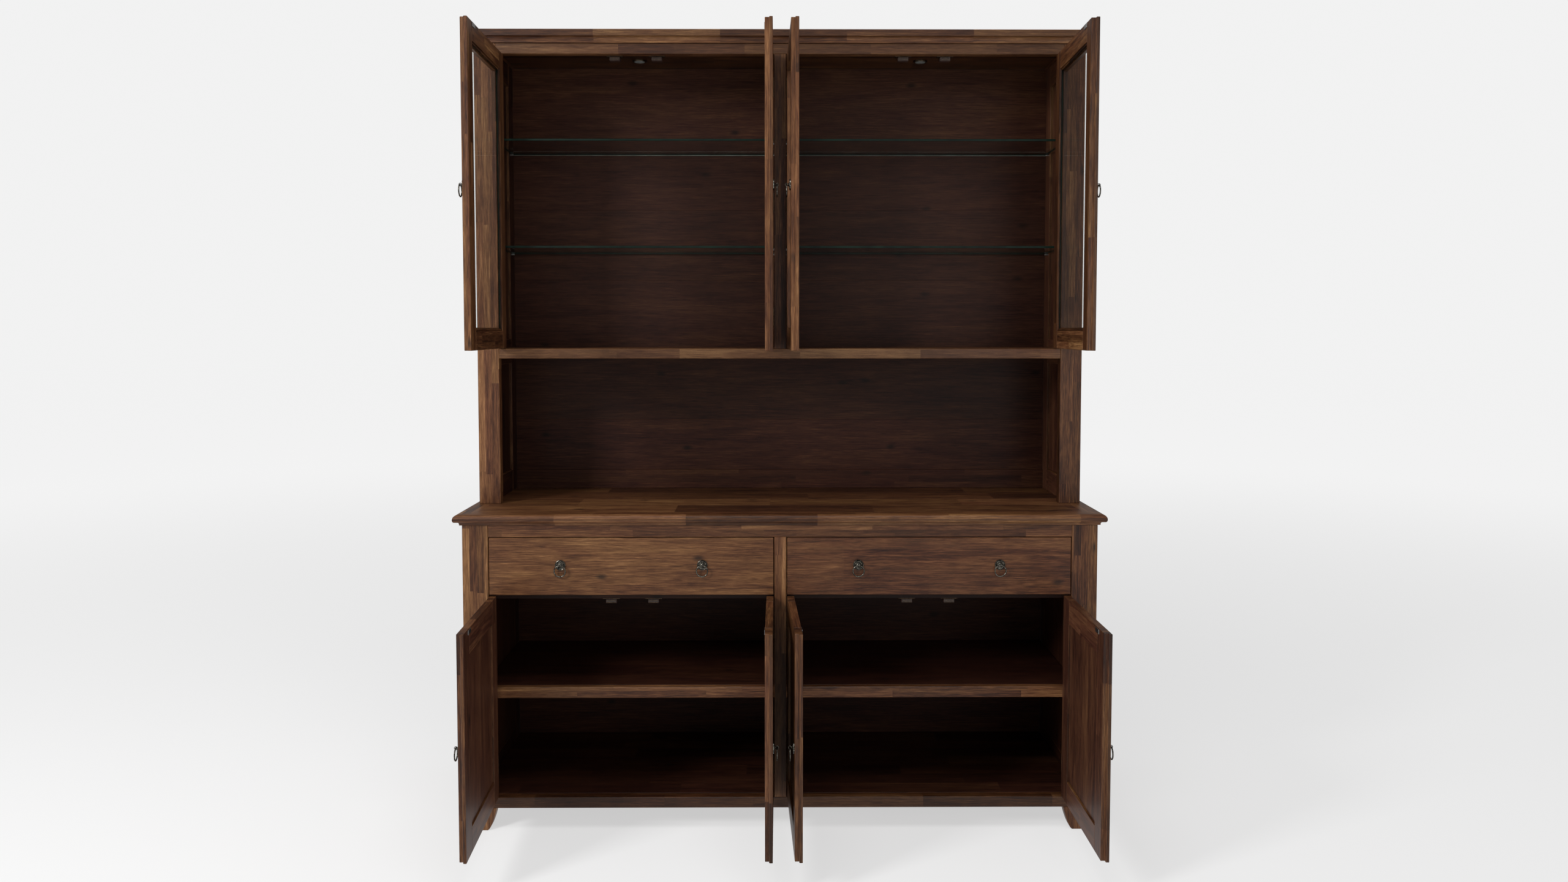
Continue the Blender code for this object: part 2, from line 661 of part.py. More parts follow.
def build_door(name, hinged_left, angle, bay_edge, bay, front_y, low, high, kind):
    thickness = UPPER_DOOR_THICKNESS if kind == "glass" else LOWER_DOOR_THICKNESS
    side = 1 if hinged_left else -1
    width = leaf_width(bay)
    height = high - low
    bm, front, back = leaf_bmesh(name, width, thickness, height, hinged_left)
    stile = UPPER_STILE if kind == "glass" else LOWER_STILE
    rail = UPPER_RAIL if kind == "glass" else LOWER_RAIL
    x = sorted((side * stile, side * (width - stile)))
    z = (rail, height - rail)
    if kind == "glass":
        wide_x = (x[0] - REBATE_WIDTH, x[1] + REBATE_WIDTH)
        wide_z = (z[0] - REBATE_WIDTH, z[1] + REBATE_WIDTH)
        near = push_pocket(bm, front, x, z, REBATE_FRONT)
        far = push_pocket(bm, back, wide_x, wide_z, REBATE_FRONT - thickness)
        loops = list(near.edges) + list(far.edges)
        bmesh.ops.delete(bm, geom=[near, far], context="FACES_ONLY")
        bmesh.ops.bridge_loops(bm, edges=loops)
    else:
        push_pocket(bm, front, x, z, PANEL_RECESS_FRONT)
        push_pocket(bm, back, x, z, -PANEL_RECESS_BACK)
    pin = (bay_edge + side * DOOR_GAP, front_y, low)
    turn = -side * math.radians(angle)
    door = add_object(name, mesh_from(bm, name), WOOD, cabinet, pin, turn)
    if kind == "glass":
        inset = REBATE_WIDTH - SHELF_GAP / 2
        pane_x = (x[0] - inset, x[1] + inset)
        pane_z = (z[0] - inset, z[1] + inset)
        pane_y = (REBATE_FRONT + FIT, REBATE_FRONT + FIT + PANE_THICKNESS)
        board(name.replace("door", "pane"), pane_x, pane_y, pane_z, GLASS, door)
    pull_height = UPPER_PULL_HEIGHT if kind == "glass" else LOWER_PULL_HEIGHT
    add_pull(name, door, side * (width - stile / 2), pull_height)


def build_doors():
    upper = (DECK_TOP + DOOR_GAP, FRIEZE_LOW - DOOR_GAP)
    lower = (BOTTOM_TOP + DOOR_GAP, DRAWER_LOW - DOOR_DRAWER_GAP)
    levels = (
        ("upper", HUTCH_BAY, HUTCH_SETBACK, upper, UPPER_DOOR_ANGLES, "glass"),
        ("lower", BASE_BAY, 0.0, lower, LOWER_DOOR_ANGLES, "panel"),
    )
    for level, bay, front_y, (low, high), angles, kind in levels:
        edges = (-bay[1], -bay[0], bay[0], bay[1])
        places = ("far_left", "mid_left", "mid_right", "far_right")
        for index, (place, edge, angle) in enumerate(zip(places, edges, angles)):
            hinged_left = index % 2 == 0
            name = f"{level}_door_{place}"
            build_door(name, hinged_left, angle, edge, bay, front_y, low, high, kind)


def build_drawers():
    for name, side in (("left", -1), ("right", 1)):
        bay = sorted((side * BASE_BAY[0], side * BASE_BAY[1]))
        width = bay[1] - bay[0] - 2 * DRAWER_GAP
        face = board(
            f"{name}_drawer_front",
            (0.0, width),
            (0.0, DRAWER_FRONT_THICKNESS),
            (0.0, DRAWER_FRONT_HEIGHT),
        )
        face.location = (bay[0] + DRAWER_GAP, 0.0, DRAWER_LOW)
        edge = DRAWER_SIDE_CLEARANCE - DRAWER_GAP
        box_x = (edge, width - edge)
        box_y = (DRAWER_FRONT_THICKNESS + FIT, BACK_Y - DRAWER_BACK_CLEARANCE)
        box_z = (DRAWER_BOX_RISE, DRAWER_FRONT_HEIGHT - DRAWER_BOX_DROP)
        bm = box_bmesh(box_x, box_y, box_z)
        bm.normal_update()
        top = next(face_up for face_up in bm.faces if face_up.normal.z > FACING)
        push_panel(bm, top, DRAWER_WALL, box_z[1] - box_z[0] - DRAWER_BOTTOM)
        label = f"{name}_drawer_box"
        add_object(label, mesh_from(bm, label), DRAWER_WOOD, face)
        for end, x in (("left", DRAWER_PULL_INSET), ("right", width - DRAWER_PULL_INSET)):
            add_pull(f"{name}_drawer_{end}", face, x, DRAWER_PULL_HEIGHT)


def front_reach():
    """How far the most forward edge stands in front of the base's front face."""
    reaches = [TOP_FRONT_OVERHANG]
    for angle in LOWER_DOOR_ANGLES:
        reaches.append((leaf_width(BASE_BAY) + LAP / 2) * math.sin(math.radians(angle)))
    for angle in UPPER_DOOR_ANGLES:
        reach = (leaf_width(HUTCH_BAY) + LAP / 2) * math.sin(math.radians(angle))
        reaches.append(reach - HUTCH_SETBACK)
    return max(reaches)


clear_scene()
parts = new_collection("china_cabinet")
tools = new_collection("tools")
cabinet = bpy.data.objects.new("cabinet", None)
parts.objects.link(cabinet)
cabinet.location = (0.0, (front_reach() - BASE_DEPTH) / 2, 0.0)

rosette_shape = rosette_mesh()
ring_shape = ring_mesh()

build_base_ends()
build_base_carcass()
moulded_slab(
    "base_top", CASE_TOP, 0.0, BASE_DEPTH, TOP_OVERHANG, TOP_FRONT_OVERHANG, top_profile()
)
build_hutch_ends()
build_hutch_carcass()
moulded_slab(
    "hutch_crown",
    CROWN_LOW,
    HUTCH_SETBACK,
    BASE_DEPTH,
    CROWN_OVERHANG,
    CROWN_OVERHANG,
    crown_profile(),
)
build_drawers()
build_doors()
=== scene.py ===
# %% [markdown]
# # A china cabinet with glass doors
# A buffet base and a hutch, in stained acacia, with eight open doors, two drawers and twelve ring
# pulls. The solids from the design are loaded first: they give every place and every moving body.
# This lesson then builds the visible boards, glass and metal round them, one kind at a time.

# %% Load the cabinet's solids
import json
import math
import random

import bmesh
import bpy
from mathutils import Matrix, Vector


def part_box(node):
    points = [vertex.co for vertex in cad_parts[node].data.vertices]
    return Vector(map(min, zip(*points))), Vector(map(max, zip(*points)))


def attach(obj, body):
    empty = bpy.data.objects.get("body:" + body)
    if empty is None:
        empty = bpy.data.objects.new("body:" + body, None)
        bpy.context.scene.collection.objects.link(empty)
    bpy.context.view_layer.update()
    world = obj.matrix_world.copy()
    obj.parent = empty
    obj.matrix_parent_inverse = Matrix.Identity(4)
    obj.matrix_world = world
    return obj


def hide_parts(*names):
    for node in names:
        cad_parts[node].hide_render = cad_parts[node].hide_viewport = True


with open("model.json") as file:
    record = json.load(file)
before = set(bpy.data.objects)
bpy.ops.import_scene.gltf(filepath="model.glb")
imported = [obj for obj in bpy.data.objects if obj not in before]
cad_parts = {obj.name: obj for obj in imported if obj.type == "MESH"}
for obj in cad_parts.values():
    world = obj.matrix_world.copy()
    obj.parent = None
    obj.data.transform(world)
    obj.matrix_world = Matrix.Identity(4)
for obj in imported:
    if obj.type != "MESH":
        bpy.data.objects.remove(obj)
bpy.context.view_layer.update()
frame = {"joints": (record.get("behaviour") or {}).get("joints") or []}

# %% [markdown]
# ## Boards that know their grain
# On the real cabinet each board has its grain along its length, and is glued up from narrow staves.
# A texture in object space would run through every board the same way. So each board is its own
# small block in a bmesh, and its faces store where they lie in that board: along the grain, across
# it and through it. A second value stores the board's tone and the width of its staves. The wood
# materials read both, so no two boards look cut from the same block.

# %% Board helpers
GRAIN = "grain"
PLANK = "plank"
X, Y, Z = 0, 1, 2
NARROW = 0.0185  # staves of posts, rails and edgings
WIDE = 0.062  # staves of wide panels
PLAIN = 1000.0  # one piece, with no staves
ARRIS = 0.0009
SOFT_ARRIS = 0.0012  # drawer fronts
FINE_ARRIS = 0.0003  # boards that lie tight against others
SQUARE_OVER = 1.0  # edges that turn more than this, in radians, are eased
LONGEST_SHIFT = 40.0
draw = random.Random(11)


def new_wood():
    bm = bmesh.new()
    bm.loops.layers.float_vector.new(GRAIN)
    bm.loops.layers.float_vector.new(PLANK)
    return bm


def mark_grain(bm, faces, along, staves, tone):
    """Stores each face corner's place in its own board, the board's tone and its staves."""
    grain = bm.loops.layers.float_vector[GRAIN]
    plank = bm.loops.layers.float_vector[PLANK]
    loops = [loop for face in faces for loop in face.loops]
    low = [min(loop.vert.co[axis] for loop in loops) for axis in range(3)]
    high = [max(loop.vert.co[axis] for loop in loops) for axis in range(3)]
    rest = [axis for axis in range(3) if axis != along]
    rest.sort(key=lambda axis: low[axis] - high[axis])
    shift = draw.uniform(0.0, LONGEST_SHIFT)
    shade = tone + draw.uniform(-0.05, 0.05)
    seed = draw.uniform(0.0, LONGEST_SHIFT)
    for loop in loops:
        co = loop.vert.co
        across = [co[axis] - low[axis] for axis in rest]
        loop[grain] = (co[along] + shift, *across)
        loop[plank] = (shade, staves, seed)


def ease(bm, edges, arris):
    """Takes a narrow flat off each edge."""
    bmesh.ops.bevel(
        bm, geom=edges, offset=arris, segments=1, profile=0.5, affect="EDGES", material=-1
    )


def block(bm, x, y, z, arris=ARRIS):
    """Adds a box with eased edges and returns its faces."""
    old = set(bm.faces)
    low = Vector((min(x), min(y), min(z)))
    high = Vector((max(x), max(y), max(z)))
    place = Matrix.Translation((low + high) / 2) @ Matrix.Diagonal((*(high - low), 1.0))
    corners = bmesh.ops.create_cube(bm, size=1.0, matrix=place)["verts"]
    ease(bm, list({edge for vert in corners for edge in vert.link_edges}), arris)
    return [face for face in bm.faces if face not in old]


def board(bm, x, y, z, along, staves=NARROW, tone=0.0, arris=ARRIS):
    faces = block(bm, x, y, z, arris)
    mark_grain(bm, faces, along, staves, tone)
    return faces


def prism(bm, outline, run, span):
    """Adds an outline made solid along one axis. The outline's pairs are the other two axes."""
    old = set(bm.faces)
    first, second = [axis for axis in range(3) if axis != run]
    verts = []
    for pair in outline:
        co = [0.0, 0.0, 0.0]
        co[first], co[second] = pair
        co[run] = span[0]
        verts.append(bm.verts.new(co))
    face = bm.faces.new(verts)
    made = bmesh.ops.extrude_face_region(bm, geom=[face])["geom"]
    moved = [item for item in made if isinstance(item, bmesh.types.BMVert)]
    step = [0.0, 0.0, 0.0]
    step[run] = span[1] - span[0]
    bmesh.ops.translate(bm, verts=moved, vec=step)
    faces = [face for face in bm.faces if face not in old]
    bmesh.ops.recalc_face_normals(bm, faces=faces)
    return faces


def shaped_board(bm, outline, run, span, along, staves=NARROW, tone=0.0, arris=0.0):
    """A board of any outline, with its square edges eased if arris is given."""
    old = set(bm.faces)
    faces = prism(bm, outline, run, span)
    if arris:
        edges = {edge for face in faces for edge in face.edges}
        ease(bm, [edge for edge in edges if edge.calc_face_angle() > SQUARE_OVER], arris)
        faces = [face for face in bm.faces if face not in old]
    mark_grain(bm, faces, along, staves, tone)
    return faces


def saw(bm, faces, point, normal):
    """Cuts off what lies past a plane, and closes the cut. Returns what is left."""
    others = set(bm.faces) - set(faces)
    geom = {item for face in faces for item in (*face.verts, *face.edges, face)}
    cut = bmesh.ops.bisect_plane(
        bm, geom=list(geom), plane_co=point, plane_no=normal, clear_outer=True
    )
    rim = [item for item in cut["geom_cut"] if isinstance(item, bmesh.types.BMEdge)]
    bmesh.ops.edgeloop_fill(bm, edges=rim)
    return [face for face in bm.faces if face not in others]


SMOOTH_UNDER = math.radians(32)


def finish_piece(bm, name, materials, nodes=(), body="carcass", place=None):
    """Turns a bmesh into a piece that rides on a body and stands for CAD nodes."""
    if place is not None:
        bmesh.ops.transform(bm, matrix=place, verts=bm.verts)
    bmesh.ops.recalc_face_normals(bm, faces=bm.faces)
    mesh = bpy.data.meshes.new(name)
    bm.to_mesh(mesh)
    bm.free()
    mesh.shade_smooth()
    mesh.set_sharp_from_angle(angle=SMOOTH_UNDER)
    for material in materials:
        mesh.materials.append(material)
    piece = bpy.data.objects.new(name, mesh)
    bpy.context.scene.collection.objects.link(piece)
    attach(piece, body)
    if nodes:
        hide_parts(*nodes)


print("longest board shift", LONGEST_SHIFT, "m")

# %% [markdown]
# ## Stained acacia
# Acacia furniture is glued up from short staves that take the stain differently: most are walnut
# brown, some tan, some nearly black, with fine pores, darker figure and a few knots. A picture of
# wood would repeat and can't follow each board, so the pattern is worked out from the stored grain
# coordinates: cells give every stave its own tone, stretched noise gives streaks and pores, the
# height lines of a slow noise give the arched figure, and a few cells of a Voronoi give knots.
# The lacquer is satin: a rough wood under a thin clear coat.

# %% Node helpers
def add_node(tree, kind, inputs=None, **settings):
    """Adds a shader node. An input is a value or another node's output."""
    made = tree.nodes.new("ShaderNode" + kind)
    for key, value in settings.items():
        setattr(made, key, value)
    for key, value in (inputs or {}).items():
        if isinstance(value, bpy.types.NodeSocket):
            tree.links.new(value, made.inputs[key])
        else:
            made.inputs[key].default_value = value
    return made


def maths(tree, operation, *values):
    inputs = dict(enumerate(values))
    return add_node(tree, "Math", inputs, operation=operation).outputs[0]


def vector(tree, x, y, z):
    return add_node(tree, "CombineXYZ", {0: x, 1: y, 2: z}).outputs[0]


def stretched_noise(tree, u, v, w, scales, detail, roughness, distortion=0.0):
    """Noise with its own scale along the grain, across it and through it."""
    place = vector(
        tree,
        maths(tree, "MULTIPLY", u, scales[0]),
        maths(tree, "MULTIPLY", v, scales[1]),
        maths(tree, "MULTIPLY", w, scales[2]),
    )
    inputs = {"Vector": place, "Scale": 1.0, "Detail": detail}
    inputs |= {"Roughness": roughness, "Distortion": distortion}
    return add_node(tree, "TexNoise", inputs).outputs[0]


def colour_ramp(tree, value, stops):
    ramp = add_node(tree, "ValToRGB", {"Fac": value})
    elements = ramp.color_ramp.elements
    while len(elements) < len(stops):
        elements.new(0.5)
    for element, (position, colour) in zip(elements, stops):
        element.position = position
        element.color = (*colour, 1.0)
    return ramp.outputs["Color"]


def mix_colour(tree, factor, first, second):
    """Mixes two colours. Each is a node's output or three values."""
    made = add_node(tree, "Mix", {0: factor}, data_type="RGBA")
    for index, colour in ((6, first), (7, second)):
        if isinstance(colour, bpy.types.NodeSocket):
            tree.links.new(colour, made.inputs[index])
        else:
            made.inputs[index].default_value = (*colour, 1.0)
    return made.outputs[2]


def new_material(name):
    material = bpy.data.materials.new(name)
    material.use_nodes = True
    tree = material.node_tree
    return material, tree, tree.nodes["Principled BSDF"]


print("grain is stored as", GRAIN, "and", PLANK)

# %% The stained wood
STAVE_LENGTH = 0.30
SEAM = 0.0003
KNOT = (0.006, 0.003, 0.002)


def stained_wood(name, stops, contrast, figure, roughness, coat, specular=0.20):
    """A stave-built wood. Stops run from the darkest stave to the palest."""
    material, tree, shader = new_material(name)
    grain = add_node(tree, "Attribute", attribute_name=GRAIN).outputs["Vector"]
    plank = add_node(tree, "Attribute", attribute_name=PLANK).outputs["Vector"]
    u, v, w = add_node(tree, "SeparateXYZ", {0: grain}).outputs
    tone, width, seed = add_node(tree, "SeparateXYZ", {0: plank}).outputs

    row = maths(tree, "DIVIDE", v, width)
    column = maths(tree, "FLOOR", row)
    first = add_node(
        tree, "TexWhiteNoise", {"Vector": vector(tree, column, seed, 0.5)}
    ).outputs["Value"]
    length = maths(tree, "MULTIPLY_ADD", width, 2.0, STAVE_LENGTH)
    stagger = maths(tree, "MULTIPLY_ADD", first, 7.0, maths(tree, "DIVIDE", u, length))
    stave = maths(tree, "FLOOR", stagger)
    own = add_node(tree, "TexWhiteNoise", {"Vector": vector(tree, column, stave, seed)})
    cell = own.outputs["Value"]
    swing = maths(tree, "SUBTRACT", cell, 0.5)
    square = maths(tree, "POWER", maths(tree, "ABSOLUTE", swing), 2.0)
    far_off = maths(tree, "MULTIPLY", square, 2.6)
    spread = maths(tree, "MULTIPLY", maths(tree, "SIGN", swing), far_off)

    far_u = maths(tree, "MULTIPLY_ADD", cell, 31.0, u)
    streaks = stretched_noise(tree, far_u, v, w, (11.0, 260.0, 260.0), 4.0, 0.68, 0.6)
    pores = stretched_noise(tree, far_u, v, w, (34.0, 800.0, 800.0), 3.0, 0.6)
    clouds = stretched_noise(tree, far_u, v, w, (3.0, 22.0, 22.0), 4.0, 0.6, 0.8)
    slow = stretched_noise(tree, far_u, v, w, (0.9, 7.5, 7.5), 2.0, 0.45, 0.3)
    arches = maths(tree, "SINE", maths(tree, "MULTIPLY", slow, 95.0))
    lines = maths(tree, "MULTIPLY", arches, figure)

    total = maths(tree, "MULTIPLY_ADD", spread, contrast, tone)
    for part, weight in ((streaks, 1.25), (pores, 0.90), (clouds, 0.85)):
        centred = maths(tree, "SUBTRACT", part, 0.5)
        total = maths(tree, "MULTIPLY_ADD", centred, weight, total)
    total = maths(tree, "ADD", maths(tree, "ADD", total, lines), 0.5)
    colour = colour_ramp(tree, total, stops)

    own_hue = maths(tree, "MULTIPLY_ADD", own.outputs["Color"], 0.010, 0.4785)
    hue = maths(tree, "MULTIPLY_ADD", clouds, 0.024, own_hue)
    tinted = add_node(tree, "HueSaturation", {"Color": colour, "Hue": hue}).outputs[0]

    along = maths(tree, "MULTIPLY", far_u, 2.0)
    knot_place = vector(tree, along, maths(tree, "MULTIPLY_ADD", v, 4.0, seed), 0.0)
    cells = {"Vector": knot_place, "Scale": 1.0}
    knots = add_node(tree, "TexVoronoi", cells, voronoi_dimensions="2D").outputs["Distance"]
    edge = maths(tree, "MULTIPLY_ADD", streaks, 0.020, knots)
    bounds = {"Value": edge, "From Min": 0.022, "From Max": 0.050, "To Min": 0.82, "To Max": 0.0}
    core = add_node(tree, "MapRange", bounds).outputs[0]
    knotted = mix_colour(tree, core, tinted, KNOT)

    from_seam = maths(tree, "MULTIPLY", maths(tree, "FRACT", row), width)
    ends = maths(tree, "MULTIPLY", maths(tree, "FRACT", stagger), length)
    nearest = maths(tree, "MINIMUM", from_seam, ends)
    seam = maths(tree, "LESS_THAN", nearest, SEAM)
    seam_dark = maths(tree, "MULTIPLY", seam, 0.45)
    tree.links.new(mix_colour(tree, seam_dark, knotted, stops[0][1]), shader.inputs["Base Color"])

    spread_rough = maths(tree, "MULTIPLY_ADD", pores, 0.22, roughness - 0.11)
    tree.links.new(spread_rough, shader.inputs["Roughness"])
    height = maths(tree, "MULTIPLY_ADD", streaks, 0.5, maths(tree, "SUBTRACT", pores, seam))
    bump = add_node(tree, "Bump", {"Height": height, "Strength": 0.22, "Distance": 0.0006})
    tree.links.new(bump.outputs[0], shader.inputs["Normal"])
    shader.inputs["Coat Weight"].default_value = coat
    shader.inputs["Coat Roughness"].default_value = 0.28
    shader.inputs["Specular IOR Level"].default_value = specular
    return material


OUTER_STOPS = (
    (0.05, (0.010, 0.0035, 0.0015)),
    (0.32, (0.048, 0.0170, 0.0055)),
    (0.52, (0.100, 0.0410, 0.0140)),
    (0.74, (0.168, 0.0760, 0.0280)),
    (0.98, (0.300, 0.1520, 0.0620)),
)
# The inside wood is this dark as painted shade for the inside of the cabinet.
INNER_SHADE_STOPS = (
    (0.05, (0.0070, 0.0024, 0.0014)),
    (0.35, (0.0190, 0.0064, 0.0034)),
    (0.55, (0.0310, 0.0104, 0.0052)),
    (0.78, (0.0480, 0.0176, 0.0080)),
    (0.98, (0.0760, 0.0310, 0.0130)),
)
walnut = stained_wood("stained_acacia", OUTER_STOPS, 0.40, 0.030, 0.46, 0.10)
broad = stained_wood("figured_acacia", OUTER_STOPS, 0.30, 0.035, 0.50, 0.08)
inside = stained_wood("shade_painted_acacia", INNER_SHADE_STOPS, 0.30, 0.035, 0.55, 0.05, 0.12)
# Painted shade lighter than the inside wood: lower door backs and the right hutch end's inside.
BACK_STOPS = (
    (0.05, (0.014, 0.0050, 0.0030)),
    (0.35, (0.052, 0.0190, 0.0095)),
    (0.55, (0.095, 0.0370, 0.0175)),
    (0.78, (0.150, 0.0640, 0.0290)),
    (0.98, (0.220, 0.1020, 0.0460)),
)
half_shade_wood = stained_wood("half_shaded_acacia", BACK_STOPS, 0.20, 0.030, 0.50, 0.08)
BOX_STOPS = (
    (0.0, (0.30, 0.17, 0.08)),
    (0.4, (0.42, 0.26, 0.13)),
    (0.6, (0.50, 0.32, 0.17)),
    (0.8, (0.56, 0.38, 0.21)),
    (1.0, (0.62, 0.44, 0.26)),
)
drawer_wood = stained_wood("sealed_hardwood", BOX_STOPS, 0.20, 0.02, 0.55, 0.05)
print("woods", [m.name for m in (walnut, broad, inside, half_shade_wood, drawer_wood)])

# %% [markdown]
# ## Glass, pewter and steel
# Clear float glass is nearly invisible face on, reflects more at a slant, and is green through its
# long edge. Real refraction would make every shelf cast a black shadow here, so the faces mix a
# clear film with a mirror that grows as the view slants, and the polished edges get a deep green.
# The lower back arris of an upper shelf shows a pale line, so it gets a painted highlight.
# The pulls are cast and browned like old pewter, then rubbed bright on the high spots.

# %% Glass and metals
MIRROR_FACE_ON = 0.015
MIRROR_SLANTED = 0.42
GLASS_TINT = (0.972, 0.982, 0.976, 1.0)


def clear_glass():
    material, tree, shader = new_material("clear_glass")
    film = add_node(tree, "BsdfTransparent", {"Color": GLASS_TINT})
    mirror = add_node(tree, "BsdfGlossy", {"Roughness": 0.02})
    slant = add_node(tree, "LayerWeight", {"Blend": 0.5}).outputs["Facing"]
    steep = maths(tree, "POWER", slant, 5.0)
    shine = maths(tree, "MULTIPLY_ADD", steep, MIRROR_SLANTED, MIRROR_FACE_ON)
    mixed = add_node(tree, "MixShader", {0: shine, 1: film.outputs[0], 2: mirror.outputs[0]})
    tree.nodes.remove(shader)
    tree.links.new(mixed.outputs[0], tree.nodes["Material Output"].inputs["Surface"])
    return material


def worn_surface(name, dark, bright, roughness, scale, metallic=1.0):
    """A metal, plastic or glass edge whose colour and shine wander between two states."""
    material, tree, shader = new_material(name)
    place = add_node(tree, "TexCoord").outputs["Object"]
    wear = add_node(tree, "TexNoise", {"Vector": place, "Scale": scale, "Detail": 5.0})
    stops = ((0.36, dark), (0.66, bright))
    tree.links.new(colour_ramp(tree, wear.outputs[0], stops), shader.inputs["Base Color"])
    rough = maths(tree, "MULTIPLY_ADD", wear.outputs[0], -0.25, roughness + 0.125)
    tree.links.new(rough, shader.inputs["Roughness"])
    height = {"Height": wear.outputs[0], "Strength": 0.15, "Distance": 0.0002}
    tree.links.new(add_node(tree, "Bump", height).outputs[0], shader.inputs["Normal"])
    shader.inputs["Metallic"].default_value = metallic
    return material


glass = clear_glass()
glass_edge = worn_surface(
    "glass_edge", (0.0015, 0.006, 0.004), (0.004, 0.014, 0.009), 0.45, 30, 0.0
)
glass_edge.node_tree.nodes["Principled BSDF"].inputs["Specular IOR Level"].default_value = 0.15
# A pale, near white finish for a shelf's lower back arris: a painted highlight.
far_edge_highlight = worn_surface("glass_edge_painted_highlight", (0.42, 0.46, 0.39), (0.66, 0.70, 0.62), 0.35, 30, 0.0)
pewter = worn_surface("antique_pewter", (0.024, 0.023, 0.020), (0.19, 0.175, 0.145), 0.26, 260)
bronze = worn_surface("dark_bronze", (0.045, 0.032, 0.022), (0.12, 0.085, 0.055), 0.42, 300)
steel = worn_surface("zinc_plated_steel", (0.30, 0.295, 0.29), (0.52, 0.51, 0.50), 0.34, 180)
brown = worn_surface(
    "brown_moulded_plastic", (0.020, 0.009, 0.007), (0.036, 0.017, 0.013), 0.34, 300, 0.0
)
lens = worn_surface("frosted_lens", (0.16, 0.17, 0.16), (0.24, 0.25, 0.24), 0.25, 500, 0.0)
finishes = (glass, glass_edge, far_edge_highlight, pewter, bronze, steel, brown, lens)
print("metals and glass", [finish.name for finish in finishes])

# %% [markdown]
# ## The sizes that the pieces share
# Places come from the loaded solids wherever a solid shows them: the front face of the base, the
# front face of the hutch, and the undersides and tops of the fixed boards. The few sizes that the
# solids don't show, such as a rail's width inside a joined frame, are the design's own.

# %% Sizes
base_low, base_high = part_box("base_left_end")
HALF = -base_low.x
FRONT = base_low.y
REAR = base_high.y
CASE_TOP = base_high.z
frame_low, frame_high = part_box("base_face_frame")
FOOT_HEIGHT = frame_low.z
HUTCH_FRONT, HUTCH_FRAME_BACK = (corner.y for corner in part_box("hutch_face_frame"))
top_low, top_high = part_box("base_top")
crown_low, crown_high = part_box("hutch_crown")
deck_low, deck_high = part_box("hutch_deck")
END = 0.033
INNER = HALF - END
FRAME_DEPTH = 0.028
BASE_POST = 0.066
HUTCH_POST = 0.0575
BASE_STILE = 0.0155
HUTCH_STILE = 0.016
BOTTOM_TOP = FOOT_HEIGHT + 0.028
TOP_RAIL = 0.031
DRAWER_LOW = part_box("left_drawer_front")[0].z
DIVIDER = (DRAWER_LOW - 0.014, DRAWER_LOW + 0.006)
BACK_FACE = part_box("hutch_back")[0].y
BACK_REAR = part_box("hutch_back")[1].y
FRIEZE_LOW = 2.037
END_FRAME = 0.062
FIT = 0.0003
SIDES = (("left", -1), ("right", 1))
print("half width", round(HALF, 4), "fronts", round(FRONT, 4), round(HUTCH_FRONT, 4))

# %% [markdown]
# ## The base's ends, posts and feet
# Each end is a frame and panel: two stiles that run down into bracket feet, two rails, and a panel
# set 7 mm back. The front post is a thicker board across the corner, and its foot curves in below
# the bottom rail. The curved boards start as an outline made solid, and the straight ones as boxes
# with eased edges, so that each joint shows as the hairline it is.

# %% Base ends
FOOT_FLOOR = 0.056
FOOT_SPREAD = 0.024
FOOT_CURVE = 0.62
FOOT_STEPS = 14
PANEL_SET = 0.007


def foot_curve(top):
    shares = [step / FOOT_STEPS for step in range(FOOT_STEPS + 1)]
    return [(FOOT_FLOOR + FOOT_SPREAD * share**FOOT_CURVE, share * top) for share in shares]


# Painted light and shade on top of the wood's own tone: the left post lighter, the right darker.
POST_TONE_AND_LIGHT = {-1: 0.10, 1: -0.06}


def shade_inner_faces(bm, side):
    """Gives the faces of an end that look into the cabinet the second material, a painted shade."""
    for face in bm.faces:
        deep = abs(face.calc_center_median().x) > INNER - FIT
        if deep and face.normal.x * side < -0.9:
            face.material_index = 1


